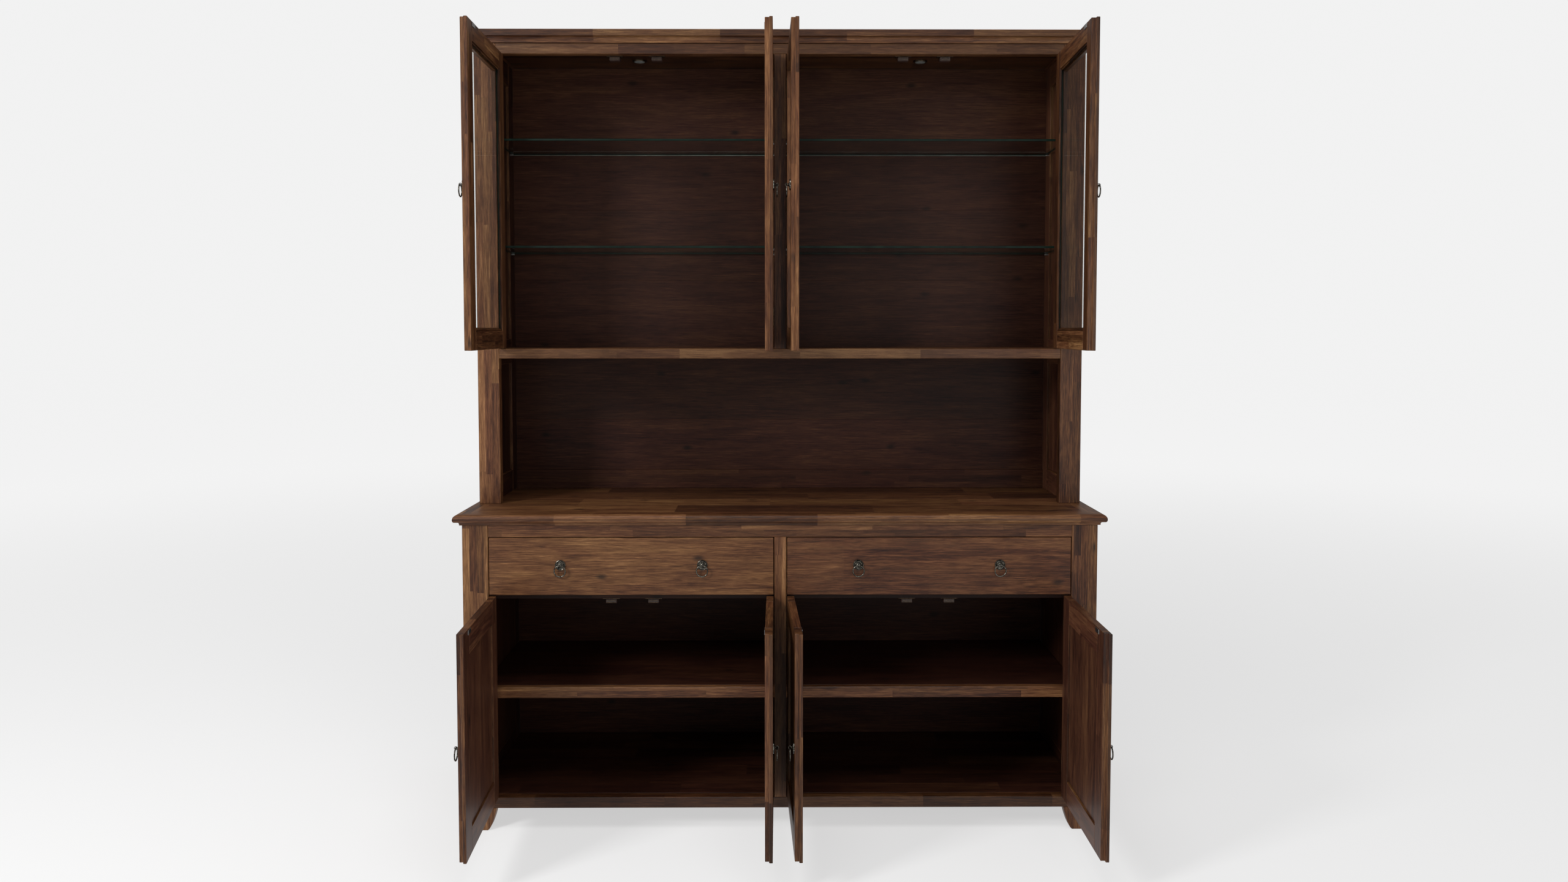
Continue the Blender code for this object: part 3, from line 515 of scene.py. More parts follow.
for side_name, side in SIDES:
    bm = new_wood()
    foot_top = FOOT_HEIGHT - FIT
    curve = foot_curve(foot_top)
    post = [(side * HALF, 0.0)]
    post += [(side * (HALF - width), height) for width, height in curve]
    post += [(side * (HALF - BASE_POST), foot_top), (side * (HALF - BASE_POST), CASE_TOP)]
    post += [(side * HALF, CASE_TOP)]
    shaped_board(bm, post, Y, (FRONT, FRONT + FRAME_DEPTH), Z, tone=POST_TONE_AND_LIGHT[side], arris=ARRIS)
    outer = (side * HALF, side * INNER)
    front_stile = [(FRONT + FRAME_DEPTH, 0.0)]
    front_stile += [(FRONT + width, height) for width, height in curve]
    front_stile += [(FRONT + END_FRAME, foot_top), (FRONT + END_FRAME, CASE_TOP)]
    front_stile += [(FRONT + FRAME_DEPTH, CASE_TOP)]
    shaped_board(bm, front_stile, X, outer, Z, arris=ARRIS)
    rear_stile = [(REAR, 0.0)]
    rear_stile += [(REAR - width, height) for width, height in curve]
    rear_stile += [(REAR - END_FRAME, foot_top), (REAR - END_FRAME, CASE_TOP), (REAR, CASE_TOP)]
    shaped_board(bm, rear_stile, X, outer, Z, arris=ARRIS)
    run = (FRONT + END_FRAME, REAR - END_FRAME)
    board(bm, outer, run, (FOOT_HEIGHT, FOOT_HEIGHT + END_FRAME), Y, tone=-0.03)
    board(bm, outer, run, (CASE_TOP - END_FRAME, CASE_TOP), Y)
    panel = (side * (HALF - PANEL_SET), side * INNER)
    middle = (FOOT_HEIGHT + END_FRAME, CASE_TOP - END_FRAME)
    board(bm, panel, run, middle, Z, WIDE, 0.02)
    rear_block = (side * INNER, side * (HALF - BASE_POST))
    board(bm, rear_block, (REAR - FOOT_FLOOR, REAR), (0.0, foot_top), Z, tone=-0.1)
    shade_inner_faces(bm, side)
    node = f"base_{side_name}_end"
    finish_piece(bm, f"{node}_boards", [walnut, inside], [node])
print("base ends built, feet", round(FOOT_HEIGHT * 1000), "mm high")

# %% [markdown]
# ## The base's front frame and inside
# Rails and the centre stile meet at hairline joints. The divider rail sits behind the drawer fronts
# and doors and stops both. Inside are a partition, a bottom board, a back, and in each bay one shelf
# with a thicker staved edging along its front. The inside and the divider rail are painted darker
# than the outside, as painted shade.

# %% Base frame
DIVIDER_DEPTHS = (0.0205, 0.0805)  # its two faces, behind the front
bm = new_wood()
post_edge = HALF - BASE_POST - FIT
frame_y = (FRONT, FRONT + FRAME_DEPTH)
board(bm, (-post_edge, post_edge), frame_y, (CASE_TOP - TOP_RAIL, frame_high.z), X)
board(bm, (-post_edge, post_edge), frame_y, (FOOT_HEIGHT, BOTTOM_TOP), X, tone=-0.22)
board(bm, (-BASE_STILE, BASE_STILE), frame_y, (BOTTOM_TOP, CASE_TOP - TOP_RAIL), Z)
finish_piece(bm, "base_front_frame", [walnut], ["base_face_frame"])

# The recessed divider rails take the dark inside wood, as painted shade.
bm = new_wood()
divider_y = [FRONT + depth for depth in DIVIDER_DEPTHS]
for _, side in SIDES:
    board(bm, (side * BASE_STILE, side * post_edge), divider_y, DIVIDER, X, tone=-0.12)
finish_piece(bm, "divider_rails", [inside])
print("front opening", round(2 * post_edge, 4), "m wide")

# %% Base inside
INSIDE = INNER - FIT
EDGING = 0.020  # depth of a shelf's front edging
EDGING_ARRIS = 0.0015
SHELF_THICK = 0.018


def spans(node):
    """A node's box as its spans along X, Y and Z."""
    return list(zip(*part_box(node)))


def courses(span, count):
    """Splits a span into equal parts, one for each board."""
    step = (span[1] - span[0]) / count
    return [(span[0] + part * step, span[0] + (part + 1) * step) for part in range(count)]


def back_panel(name, node, count):
    """A back glued up from wide boards laid level."""
    x, y, z = spans(node)
    bm = new_wood()
    for course in courses(z, count):
        board(bm, x, y, course, X, PLAIN, 0.02, FINE_ARRIS)
    finish_piece(bm, name, [inside], [node])


bm = new_wood()
board(bm, (-INSIDE, INSIDE), *spans("base_bottom")[Y:], X, WIDE)
finish_piece(bm, "bottom_board", [inside], ["base_bottom"])

bm = new_wood()
wall_x, wall_y, wall_z = spans("base_partition")
fore_y = (wall_y[0], divider_y[1] - FIT)
board(bm, wall_x, (divider_y[1] + FIT, wall_y[1]), wall_z, Z, WIDE)
board(bm, wall_x, fore_y, (wall_z[0], DIVIDER[0] - FIT), Z)
board(bm, wall_x, fore_y, (DIVIDER[1] + FIT, wall_z[1]), Z)
finish_piece(bm, "base_middle_wall", [inside], ["base_partition"])
back_panel("base_back_boards", "base_back", 3)
for side_name, _ in SIDES:
    node = f"base_{side_name}_shelf"
    x, y, z = spans(node)
    edging_back = y[0] + EDGING
    bm = new_wood()
    board(bm, x, (y[0], edging_back), z, X, NARROW, 0.06, EDGING_ARRIS)
    for face in board(bm, x, (edging_back, y[1]), (z[1] - SHELF_THICK, z[1]), X, PLAIN):
        face.material_index = 1
    finish_piece(bm, f"{node}_boards", [walnut, inside], [node])
print("base inside built")

# %% [markdown]
# ## Mouldings
# The worktop ends in a nosing with a step and a cove below it, and the crown in a cove under a band.
# On the real cabinet each is run with a cutter along straight stock and mitred at the corners. The
# same way works here: a profile made solid along one side, with its ends sawn at 45 degrees.

# %% Moulding helpers
def quarter(start, end, steps, bulges_out):
    """Points along a quarter ellipse from start to end, as (height, inset) pairs."""
    points = []
    for step in range(1, steps + 1):
        angle = math.pi / 2 * step / steps
        if bulges_out:
            rise, reach = math.sin(angle), 1 - math.cos(angle)
        else:
            rise, reach = 1 - math.cos(angle), math.sin(angle)
        height = start[0] + (end[0] - start[0]) * rise
        points.append((height, start[1] + (end[1] - start[1]) * reach))
    return points


def moulding(bm, profile, bottom, width, along, edge, inward, run, mitres, tone):
    """Runs a profile along X or Y from its outer edge inwards, and saws its ends."""
    rows = [(edge + inward * inset, bottom + height) for height, inset in profile]
    rows += [(edge + inward * width, rows[-1][1]), (edge + inward * width, rows[0][1])]
    faces = shaped_board(bm, rows, along, run, along, NARROW, tone)
    for point, normal in mitres:
        faces = saw(bm, faces, point, normal)


def mitred_border(bm, profile, low, high, width, tone=0.0):
    """A front length and two side lengths that meet in mitres round a slab's box."""
    corners = [
        ((low.x, low.y, 0.0), (-1.0, 1.0, 0.0)),
        ((high.x, low.y, 0.0), (1.0, 1.0, 0.0)),
    ]
    moulding(bm, profile, low.z, width, X, low.y, 1, (low.x, high.x), corners, tone)
    for edge, side in ((low.x, -1), (high.x, 1)):
        corner = [((edge, low.y, 0.0), (-side, -1.0, 0.0))]
        moulding(bm, profile, low.z, width, Y, edge, -side, (low.y, high.y), corner, tone)


ARC = 8
print("a quarter curve takes", ARC, "steps")

# %% Worktop
BORDER = 0.0525
COURSES = 4
TOP_STAVES = 0.11
top_cove = (0.002, 0.0144)
top_step = (0.0085, 0.0085)
nose_low = (0.0085, 0.005)
nose = (0.016, 0.0)
nose_top = (0.0285, 0.013)
top_profile = [(0.0, 0.0144), top_cove, *quarter(top_cove, top_step, ARC, True), nose_low]
top_profile += quarter(nose_low, nose, ARC, False)
top_profile += quarter(nose, nose_top, ARC, True)
bm = new_wood()
mitred_border(bm, top_profile, top_low, top_high, BORDER, 0.04)
field_x = (top_low.x + BORDER, top_high.x - BORDER)
field_z = (top_low.z, top_high.z)
for y in courses((top_low.y + BORDER, top_high.y), COURSES):
    for face in board(bm, field_x, y, field_z, X, TOP_STAVES, -0.10, FINE_ARRIS):
        face.material_index = 1
finish_piece(bm, "worktop_boards", [walnut, broad], ["base_top"])
print("worktop", round(top_high.x - top_low.x, 4), "m wide")

# %% [markdown]
# ## The hutch
# Two ends like those of the base but panelled on both faces, a frieze rail and a centre stile, a
# deck whose edge shows its staves, a partition, and a back of level boards with a rail along the
# foot of the niche.

# %% Hutch ends and frame
# Painted shade on the ends' inner faces: the left is dark, the right, which the key lights, lighter.
END_INSIDE_SHADES = {-1: inside, 1: half_shade_wood}
# Painted light and shade on top of the wood's own tone: the left post lighter, the right darker.
HUTCH_POST_TONE_AND_LIGHT = {-1: 0.10, 1: -0.17}
DECK_RAIL = (deck_low.z - 0.020, deck_low.z + 0.050)
for side_name, side in SIDES:
    node = f"hutch_{side_name}_end"
    z = spans(node)[Z]
    outer = (side * HALF, side * INNER)
    bm = new_wood()
    post_x = (side * HALF, side * (HALF - HUTCH_POST))
    board(bm, post_x, (HUTCH_FRONT, HUTCH_FRAME_BACK), z, Z, tone=HUTCH_POST_TONE_AND_LIGHT[side])
    board(bm, outer, (HUTCH_FRAME_BACK, HUTCH_FRONT + END_FRAME), z, Z)
    board(bm, outer, (REAR - END_FRAME, REAR), z, Z)
    run = (HUTCH_FRONT + END_FRAME, REAR - END_FRAME)
    board(bm, outer, run, (z[0], z[0] + END_FRAME), Y)
    board(bm, outer, run, (z[1] - END_FRAME, z[1]), Y)
    board(bm, outer, run, DECK_RAIL, Y)
    panel = (side * (HALF - PANEL_SET), side * (INNER + PANEL_SET))
    board(bm, panel, run, (z[0] + END_FRAME, DECK_RAIL[0]), Z, WIDE, -0.04)
    board(bm, panel, run, (DECK_RAIL[1], z[1] - END_FRAME), Z, WIDE, -0.04)
    shade_inner_faces(bm, side)
    woods = [walnut, END_INSIDE_SHADES[side]]
    finish_piece(bm, f"{node}_boards", woods, [node])

bm = new_wood()
face_low, face_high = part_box("hutch_face_frame")
face_x = (face_low.x, face_high.x)
frame_y = (HUTCH_FRONT, HUTCH_FRAME_BACK)
board(bm, face_x, frame_y, (FRIEZE_LOW, face_high.z), X)
board(bm, (-HUTCH_STILE, HUTCH_STILE), frame_y, (face_low.z, FRIEZE_LOW), Z, tone=-0.26)
finish_piece(bm, "hutch_front_frame", [walnut], ["hutch_face_frame"])
print("hutch front frame", round(face_high.x - face_low.x, 4), "m wide")

# %% Hutch inside
DECK_STAVES = 0.013
NICHE_RAIL = 0.056
NICHE_RAIL_THICK = 0.0045
bm = new_wood()
deck_x, deck_y, deck_z = spans("hutch_deck")
edging_back = HUTCH_FRAME_BACK + FIT + EDGING
board(bm, deck_x, (edging_back, deck_y[1]), deck_z, X, WIDE, -0.2)
board(bm, face_x, (HUTCH_FRONT, edging_back), deck_z, X, DECK_STAVES, 0.10)
finish_piece(bm, "deck_boards", [walnut], ["hutch_deck"])

bm = new_wood()
board(bm, *spans("hutch_partition"), Z, WIDE)
finish_piece(bm, "hutch_middle_wall", [inside], ["hutch_partition"])
back_panel("hutch_back_boards", "hutch_back", 6)
bm = new_wood()
rail_y = (BACK_FACE - NICHE_RAIL_THICK, BACK_FACE - FIT)
rail_z = (top_high.z + FIT, top_high.z + NICHE_RAIL)
board(bm, (-INSIDE, INSIDE), rail_y, rail_z, X, NARROW, 0.12)
finish_piece(bm, "niche_foot_rail", [inside])
print("deck at", round(deck_high.z, 4), "m")

# %% Crown
crown_cove = (0.003, 0.013)
crown_step = (0.0155, 0.004)
crown_profile = [(0.0, 0.013), crown_cove, *quarter(crown_cove, crown_step, ARC, True)]
crown_profile += [(0.0155, 0.0), (0.031, 0.0), (0.033, 0.002)]
CROWN_BORDER = 0.060
bm = new_wood()
mitred_border(bm, crown_profile, crown_low, crown_high, CROWN_BORDER)
lid_x = (crown_low.x + CROWN_BORDER, crown_high.x - CROWN_BORDER)
lid_y = (crown_low.y + CROWN_BORDER, crown_high.y)
board(bm, lid_x, lid_y, (crown_low.z, crown_high.z), X, WIDE, -0.2)
finish_piece(bm, "crown_boards", [walnut], ["hutch_crown"])
print("hutch built, crown top at", round(crown_high.z, 4))

# %% [markdown]
# ## Glass shelves
# Four 6 mm shelves lie on pins. Each is a box with polished arrises, and the faces that look
# sideways take the green of the glass seen through its length. The upper shelves are seen from
# below, and their lower back arris shows as a thin pale line, so it is wider there and gets a
# painted highlight.

# %% Shelves and pins
SHELF_ARRIS = {"lower": 0.0007, "upper": 0.0011}
PIN = [(0.0, 0.0), (0.0025, 0.0), (0.0025, 0.0078), (0.0020, 0.0085), (0.0, 0.0085)]
PIN_SUNK = 0.002
PIN_IN = 0.03  # from a shelf's front and back
PIN_DROP = 0.0027


def glass_sheet(bm, x, y, z, arris, lit_back=False):
    """Adds a sheet whose narrow faces have their own finish; a lit lower back arris gets a painted
    highlight.
    """
    faces = block(bm, x, y, z, arris)
    sizes = [abs(end - start) for start, end in (x, y, z)]
    thin = sizes.index(min(sizes))
    for face in faces:
        face.normal_update()
        face.material_index = 0 if abs(face.normal[thin]) > 0.9 else 1
        # A painted highlight: the pale finish on the lower back arris.
        if lit_back and face.normal.y > 0.5 and face.normal.z < -0.5:
            face.material_index = 2


def finish_metal(bm, name, material, body="carcass", place=None, nodes=()):
    """Finishes a fitting of metal or plastic."""
    finish_piece(bm, name, [material], nodes, body, place)


def turned(bm, profile, place, steps):
    """Turns (reach, height) points into a solid round Z, then puts it in place."""
    old = set(bm.verts)
    verts = [bm.verts.new((reach, 0.0, height)) for reach, height in profile]
    edges = [bm.edges.new(pair) for pair in zip(verts, verts[1:])]
    bmesh.ops.spin(
        bm, geom=verts + edges, cent=(0, 0, 0), axis=(0, 0, 1), angle=math.tau, steps=steps,
        use_merge=True,
    )
    new = [vert for vert in bm.verts if vert not in old]
    bmesh.ops.remove_doubles(bm, verts=new, dist=0.00002)
    new = [vert for vert in bm.verts if vert not in old]
    bmesh.ops.transform(bm, matrix=place, verts=new)


pins = bmesh.new()
for side_name, _ in SIDES:
    for level in ("lower", "upper"):
        node = f"glass_shelf_{side_name}_{level}"
        low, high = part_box(node)
        bm = bmesh.new()
        lit = level == "upper"
        glass_sheet(bm, *spans(node), SHELF_ARRIS[level], lit)
        sheet_materials = [glass, glass_edge] + [far_edge_highlight] * lit
        finish_piece(bm, f"{node}_sheet", sheet_materials, [node])
        for wall, way in ((low.x - PIN_SUNK, 1), (high.x + PIN_SUNK, -1)):
            turn = Matrix.Rotation(way * math.pi / 2, 4, "Y")
            for y in (low.y + PIN_IN, high.y - PIN_IN):
                spot = Matrix.Translation((wall, y, low.z - PIN_DROP))
                turned(pins, PIN, spot @ turn, 12)
finish_metal(pins, "shelf_pins", steel)
print("4 glass shelves on 16 pins")

# %% [markdown]
# ## Doors
# Each door is built as it would lie shut, with its hinge pin at the origin, and then turned to the
# angle at which it stands open: the joints of the loaded model give the pin and the angle. In each
# pair the meeting edges are lapped. The upper doors hold a pane in a rebate, behind small beads,
# and the lower ones a flat panel set back on both faces.

# %% Door sizes
joints = {joint["name"]: joint for joint in frame["joints"]}
PLACES = ("far_left", "mid_left", "mid_right", "far_right")
LAP = 0.004
UPPER = {"width": 0.36925, "height": 0.783, "thick": 0.019, "stile": 0.052, "rail": 0.055}
LOWER = {"width": 0.36525, "height": 0.527, "thick": 0.018, "stile": 0.056, "rail": 0.060}
UPPER["pull"], LOWER["pull"] = 0.395, 0.257
LEVELS = (("upper", UPPER), ("lower", LOWER))
REBATE = 0.008
GLASS_FRONT = 0.010
LIP = 0.0085
LAP_GAP = 0.0015
LIP_EASE = 0.0014
BEAD_FRONT = 0.0147
BEAD_SET = 0.0012  # in from the leaf's back
BEAD_SHOW = 0.0026
BEAD_ROUND = 0.0016


def door_place(level, place):
    """The matrix that hangs a door on its pin at its open angle, and the side its leaf goes."""
    joint = joints[f"{level}_{place}_hinge"]
    side = 1 if joint["axis"][2] > 0 else -1
    turn = -side * math.radians(joint["range_deg"][1])
    return Matrix.Translation(joint["pos_m"]) @ Matrix.Rotation(turn, 4, "Z"), side


def free_edge(size, hinged_left):
    """Where the front and back layers of the meeting edge end, and the depth of the step."""
    width = size["width"]
    if hinged_left:
        return width - LAP, width + LAP, LIP + LAP_GAP
    return width + LAP, width - LAP, LIP


def shade_leaf_back(bm):
    """Gives the faces that look into the cabinet when the door is shut the second material, a
    painted shade.
    """
    for face in bm.faces:
        if face.normal.y > 0.9:
            face.material_index = 1


def leaf_frame(bm, size, side, rebated, tone=0.0):
    """Stiles and rails. side is 1 if the leaf runs towards +X from its pin."""
    width, height, thick = size["width"], size["height"], size["thick"]
    stile, rail = size["stile"], size["rail"]
    face, back, step = free_edge(size, side > 0)
    if face > back:
        start = [(face - LIP_EASE, step), (face, step - LIP_EASE)]
        end = [(back, step)]
    else:
        start = [(face, step)]
        end = [(back, step + LIP_EASE), (back - LIP_EASE, step)]
    near = [(0.0, 0.0), (stile, 0.0)]
    far = [*start, (face, 0.0), (width - stile, 0.0)]
    if rebated:
        near += [(stile, GLASS_FRONT), (stile - REBATE, GLASS_FRONT), (stile - REBATE, thick)]
        far += [(width - stile, GLASS_FRONT), (width - stile + REBATE, GLASS_FRONT)]
        far += [(width - stile + REBATE, thick)]
    else:
        near += [(stile, thick)]
        far += [(width - stile, thick)]
    for outline in ([*near, (0.0, thick)], [*far, (back, thick), *end]):
        points = [(side * x, y) for x, y in outline]
        shaped_board(bm, points, Z, (0.0, height), Z, tone=tone, arris=ARRIS)
    for z, inner_z in (((0.0, rail), -1), ((height - rail, height), 1)):
        span = (side * stile, side * (width - stile))
        if not rebated:
            board(bm, span, (0.0, thick), z, X)
            continue
        board(bm, span, (0.0, GLASS_FRONT), z, X)
        wide = (side * (stile - REBATE), side * (width - stile + REBATE))
        low, high = (z[0], z[1] - REBATE) if inner_z < 0 else (z[0] + REBATE, z[1])
        board(bm, wide, (GLASS_FRONT, thick), (low, high), X)


def add_beads(bm, size, side):
    """Four small beads that hold the pane from behind."""
    stile, rail = size["stile"], size["rail"]
    y = (BEAD_FRONT, size["thick"] - BEAD_SET)
    out = REBATE - FIT
    x_low, x_high = stile - out, size["width"] - stile + out
    z_low, z_high = rail - out, size["height"] - rail + out
    thin = REBATE - BEAD_SHOW
    looks = {"tone": -0.22, "arris": BEAD_ROUND}
    for x in ((x_low, x_low + thin), (x_high - thin, x_high)):
        board(bm, (side * x[0], side * x[1]), y, (z_low, z_high), Z, **looks)
    span = (side * (x_low + thin), side * (x_high - thin))
    for z in ((z_low, z_low + thin), (z_high - thin, z_high)):
        board(bm, span, y, z, X, **looks)


print("upper leaf", UPPER["width"], "m wide, lower leaf", LOWER["width"], "m wide")

# %% Hang the eight doors
# Door tones, partly the wood's own and partly painted shade on the lower and far right doors.
LEAF_TONE_AND_SHADE = {
    "upper_mid_left_door": -0.04,
    "upper_mid_right_door": 0.08,
    "upper_far_right_door": -0.16,
    "lower_far_left_door": -0.07,
    "lower_mid_left_door": -0.12,
    "lower_mid_right_door": -0.08,
    "lower_far_right_door": -0.16,
}
PANEL_FRONT = 0.006
PANEL_BACK = 0.004  # in from the leaf's back
PANE = (0.0103, 0.0143)
PANE_ARRIS = 0.0005
PANE_PLAY = 0.001
for level, size in LEVELS:
    for place in PLACES:
        matrix, side = door_place(level, place)
        node = f"{level}_door_{place}"
        body = f"{level}_{place}_door"
        bm = new_wood()
        leaf_frame(bm, size, side, level == "upper", LEAF_TONE_AND_SHADE.get(body, 0.0))
        stile, rail = size["stile"], size["rail"]
        if level == "upper":
            add_beads(bm, size, side)
        else:
            span = (side * stile, side * (size["width"] - stile))
            y = (PANEL_FRONT, size["thick"] - PANEL_BACK)
            z = (rail, size["height"] - rail)
            board(bm, span, y, z, Z, PLAIN, -0.05, FINE_ARRIS)
            shade_leaf_back(bm)
        woods = [walnut, half_shade_wood]
        finish_piece(bm, f"{node}_boards", woods, [node], body, matrix)
        if level == "upper":
            inset = REBATE - PANE_PLAY
            x = (side * (stile - inset), side * (size["width"] - stile + inset))
            z = (rail - inset, size["height"] - rail + inset)
            bm = bmesh.new()
            glass_sheet(bm, x, PANE, z, PANE_ARRIS)
            pane = f"upper_pane_{place}"
            sheet = [glass, glass_edge]
            finish_piece(bm, f"{pane}_sheet", sheet, [pane], body, matrix)
print("8 doors hung")

# %% [markdown]
# ## Drawers
# Two inset fronts with a broad figure, each on a box of pale wood that runs on steel slides. Only
# the fronts show when the drawers are shut, but the box and its slides show as soon as one opens.

# %% Drawers
WALL = 0.012
GROOVE = (0.003, 0.008)  # where the bottom lies above the box's lower edge
MEMBER = (0.0002, 0.0045)  # the moving slide, out from the box
RAIL = (0.0055, 0.0115)  # the fixed rail round it
RAIL_LIPS = (0.0010, 0.0056)
MEMBER_HALF = 0.012
RAIL_HALF = 0.0225
LIP_HALF = 0.0150
BLOCK_HALF = 0.030
PARTITION_HALF = 0.0105


def about(middle, half):
    return middle - half, middle + half


def outwards(wall, way, reach):
    """A span that starts at a side wall and runs out from the box."""
    return wall + way * reach[0], wall + way * reach[1]


for name, side in SIDES:
    body = f"{name}_drawer"
    node = f"{body}_front"
    bm = new_wood()
    board(bm, *spans(node), X, PLAIN, 0.06 + 0.055 * side, SOFT_ARRIS)
    finish_piece(bm, f"{body}_face", [broad], [node], body)
    node = f"{body}_box"
    low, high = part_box(node)
    z = (low.z, high.z)
    bm = new_wood()
    for x in ((low.x, low.x + WALL), (high.x - WALL, high.x)):
        board(bm, x, (low.y, high.y), z, Y, PLAIN)
    across = (low.x + WALL, high.x - WALL)
    for y in ((low.y, low.y + WALL), (high.y - WALL, high.y)):
        board(bm, across, y, z, X, PLAIN)
    bottom_z = (z[0] + GROOVE[0], z[0] + GROOVE[1])
    board(bm, across, (low.y + WALL, high.y - WALL), bottom_z, X, PLAIN, -0.1)
    finish_piece(bm, f"{body}_shell", [drawer_wood], [node], body)
    middle = (z[0] + z[1]) / 2
    reach = (low.y + 0.03, high.y + 0.02)
    inner = bmesh.new()
    outer = bmesh.new()
    blocks = new_wood()
    for wall, way in ((low.x, -1), (high.x, 1)):
        member_y = (low.y + 0.02, high.y - 0.01)
        block(inner, outwards(wall, way, MEMBER), member_y, about(middle, MEMBER_HALF), 0.0008)
        rail_x = outwards(wall, way, RAIL)
        block(outer, rail_x, reach, about(middle, RAIL_HALF), 0.0008)
        lip_x = outwards(wall, way, RAIL_LIPS)
        for end in (-1, 1):
            lip_z = (middle + end * LIP_HALF, middle + end * RAIL_HALF)
            block(outer, lip_x, reach, lip_z, 0.0006)
        inner_wall = side * (PARTITION_HALF if way * side < 0 else INNER - FIT)
        block_x = (rail_x[1] + way * 0.0002, inner_wall)
        board(blocks, block_x, reach, about(middle, BLOCK_HALF), Y, tone=-0.1)
    finish_metal(inner, f"{body}_slides", steel, body)
    finish_metal(outer, f"{name}_slide_rails", steel)
    finish_piece(blocks, f"{name}_slide_blocks", [inside])
print("2 drawers on slides")

# %% [markdown]
# ## Ring pulls
# Each pull is a turned rosette with raised rings, a cast eye at its middle, and a loose ring
# through the eye. A profile spun round an axis gives the rosette, and a small circle spun round
# gives the eye and the ring.

# %% Pull shapes
ROSETTE = (
    (0.0, 0.0), (13.5, 0.0), (13.5, 1.6), (13.1, 2.7), (12.2, 3.1), (11.3, 2.7), (10.6, 1.8),
    (9.6, 1.4), (8.4, 1.6), (7.6, 2.4), (7.0, 3.4), (6.2, 3.8), (5.4, 3.6), (4.8, 4.4),
    (3.6, 5.5), (2.0, 5.9), (0.0, 6.0),
)
NECK = ((0.0, 0.0), (3.2, 0.0), (3.0, 0.8), (2.0, 1.6), (1.9, 2.6), (0.0, 2.8))
PULL_GAP = 0.0003
EYE_REACH = 0.0095
RING = (0.0143, 0.0017)  # the hoop's radius and its wire's
EYE = (0.0033, 0.00085)
NECK_OUT = 0.0042
LIE_X = Matrix.Rotation(math.pi / 2, 4, "Y")
LIE_Y = Matrix.Rotation(math.pi / 2, 4, "X")


def hoop(bm, sizes, place, steps, sides):
    """A round wire bent into a hoop round Z, then put in place."""
    major, minor = sizes
    old = set(bm.verts)
    turn = Matrix.Translation((major, 0.0, 0.0)) @ Matrix.Rotation(math.pi / 2, 4, "X")
    circle = bmesh.ops.create_circle(bm, cap_ends=False, segments=sides, radius=minor, matrix=turn)
    edges = list({edge for vert in circle["verts"] for edge in vert.link_edges})
    bmesh.ops.spin(
        bm, geom=circle["verts"] + edges, cent=(0, 0, 0), axis=(0, 0, 1), angle=math.tau,
        steps=steps, use_merge=True,
    )
    new = [vert for vert in bm.verts if vert not in old]
    bmesh.ops.transform(bm, matrix=place, verts=new)


def millimetres(pairs):
    return [(reach / 1000, height / 1000) for reach, height in pairs]


def add_pull(node, body, ring_body, place):
    """A pull whose rosette sits at the matrix's origin and faces its -Y."""
    bm = bmesh.new()
    stand = Matrix.Translation((0.0, -PULL_GAP, 0.0)) @ LIE_Y
    turned(bm, millimetres(ROSETTE), stand, 36)
    neck = Matrix.Translation((0.0, -NECK_OUT, 0.0)) @ LIE_Y
    turned(bm, millimetres(NECK), neck, 16)
    eye = Matrix.Translation((0.0, -PULL_GAP - EYE_REACH, 0.0)) @ LIE_X
    hoop(bm, EYE, eye, 24, 10)
    finish_metal(bm, f"{node}_rosette_cast", pewter, body, place, [f"{node}_rosette"])
    bm = bmesh.new()
    hang = Matrix.Translation((0.0, -PULL_GAP - EYE_REACH, -RING[0])) @ LIE_Y
    hoop(bm, RING, hang, 48, 12)
    finish_metal(bm, f"{node}_ring_cast", pewter, ring_body, place, [f"{node}_ring"])


print("a ring is", round(2000 * sum(RING), 1), "mm across")

# %% Fit the twelve pulls
for level, size in LEVELS:
    for place in PLACES:
        matrix, side = door_place(level, place)
        x = side * (size["width"] - size["stile"] / 2)
        spot = matrix @ Matrix.Translation((x, 0.0, size["pull"]))
        name = f"{level}_{place}"
        add_pull(f"{level}_door_{place}", f"{name}_door", f"{name}_ring", spot)
PULL_INSET = 0.1835
PULL_UP = 0.078
for name, side in SIDES:
    body = f"{name}_drawer"
    low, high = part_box(f"{body}_front")
    for end, x in (("left", low.x + PULL_INSET), ("right", high.x - PULL_INSET)):
        spot = Matrix.Translation((x, low.y, low.z + PULL_UP))
        add_pull(f"{body}_{end}", body, f"{body}_{end}_ring_body", spot)
print("12 pulls fitted")

# %% [markdown]
# ## Hinges, catches, strikes and lights
# Butt hinges carry the doors, one leaf on the frame and one on the door. Under the front of each
# bay hang two magnetic catches, and each door has a steel strike plate that meets one. A puck
# light sits in the ceiling of each upper bay.

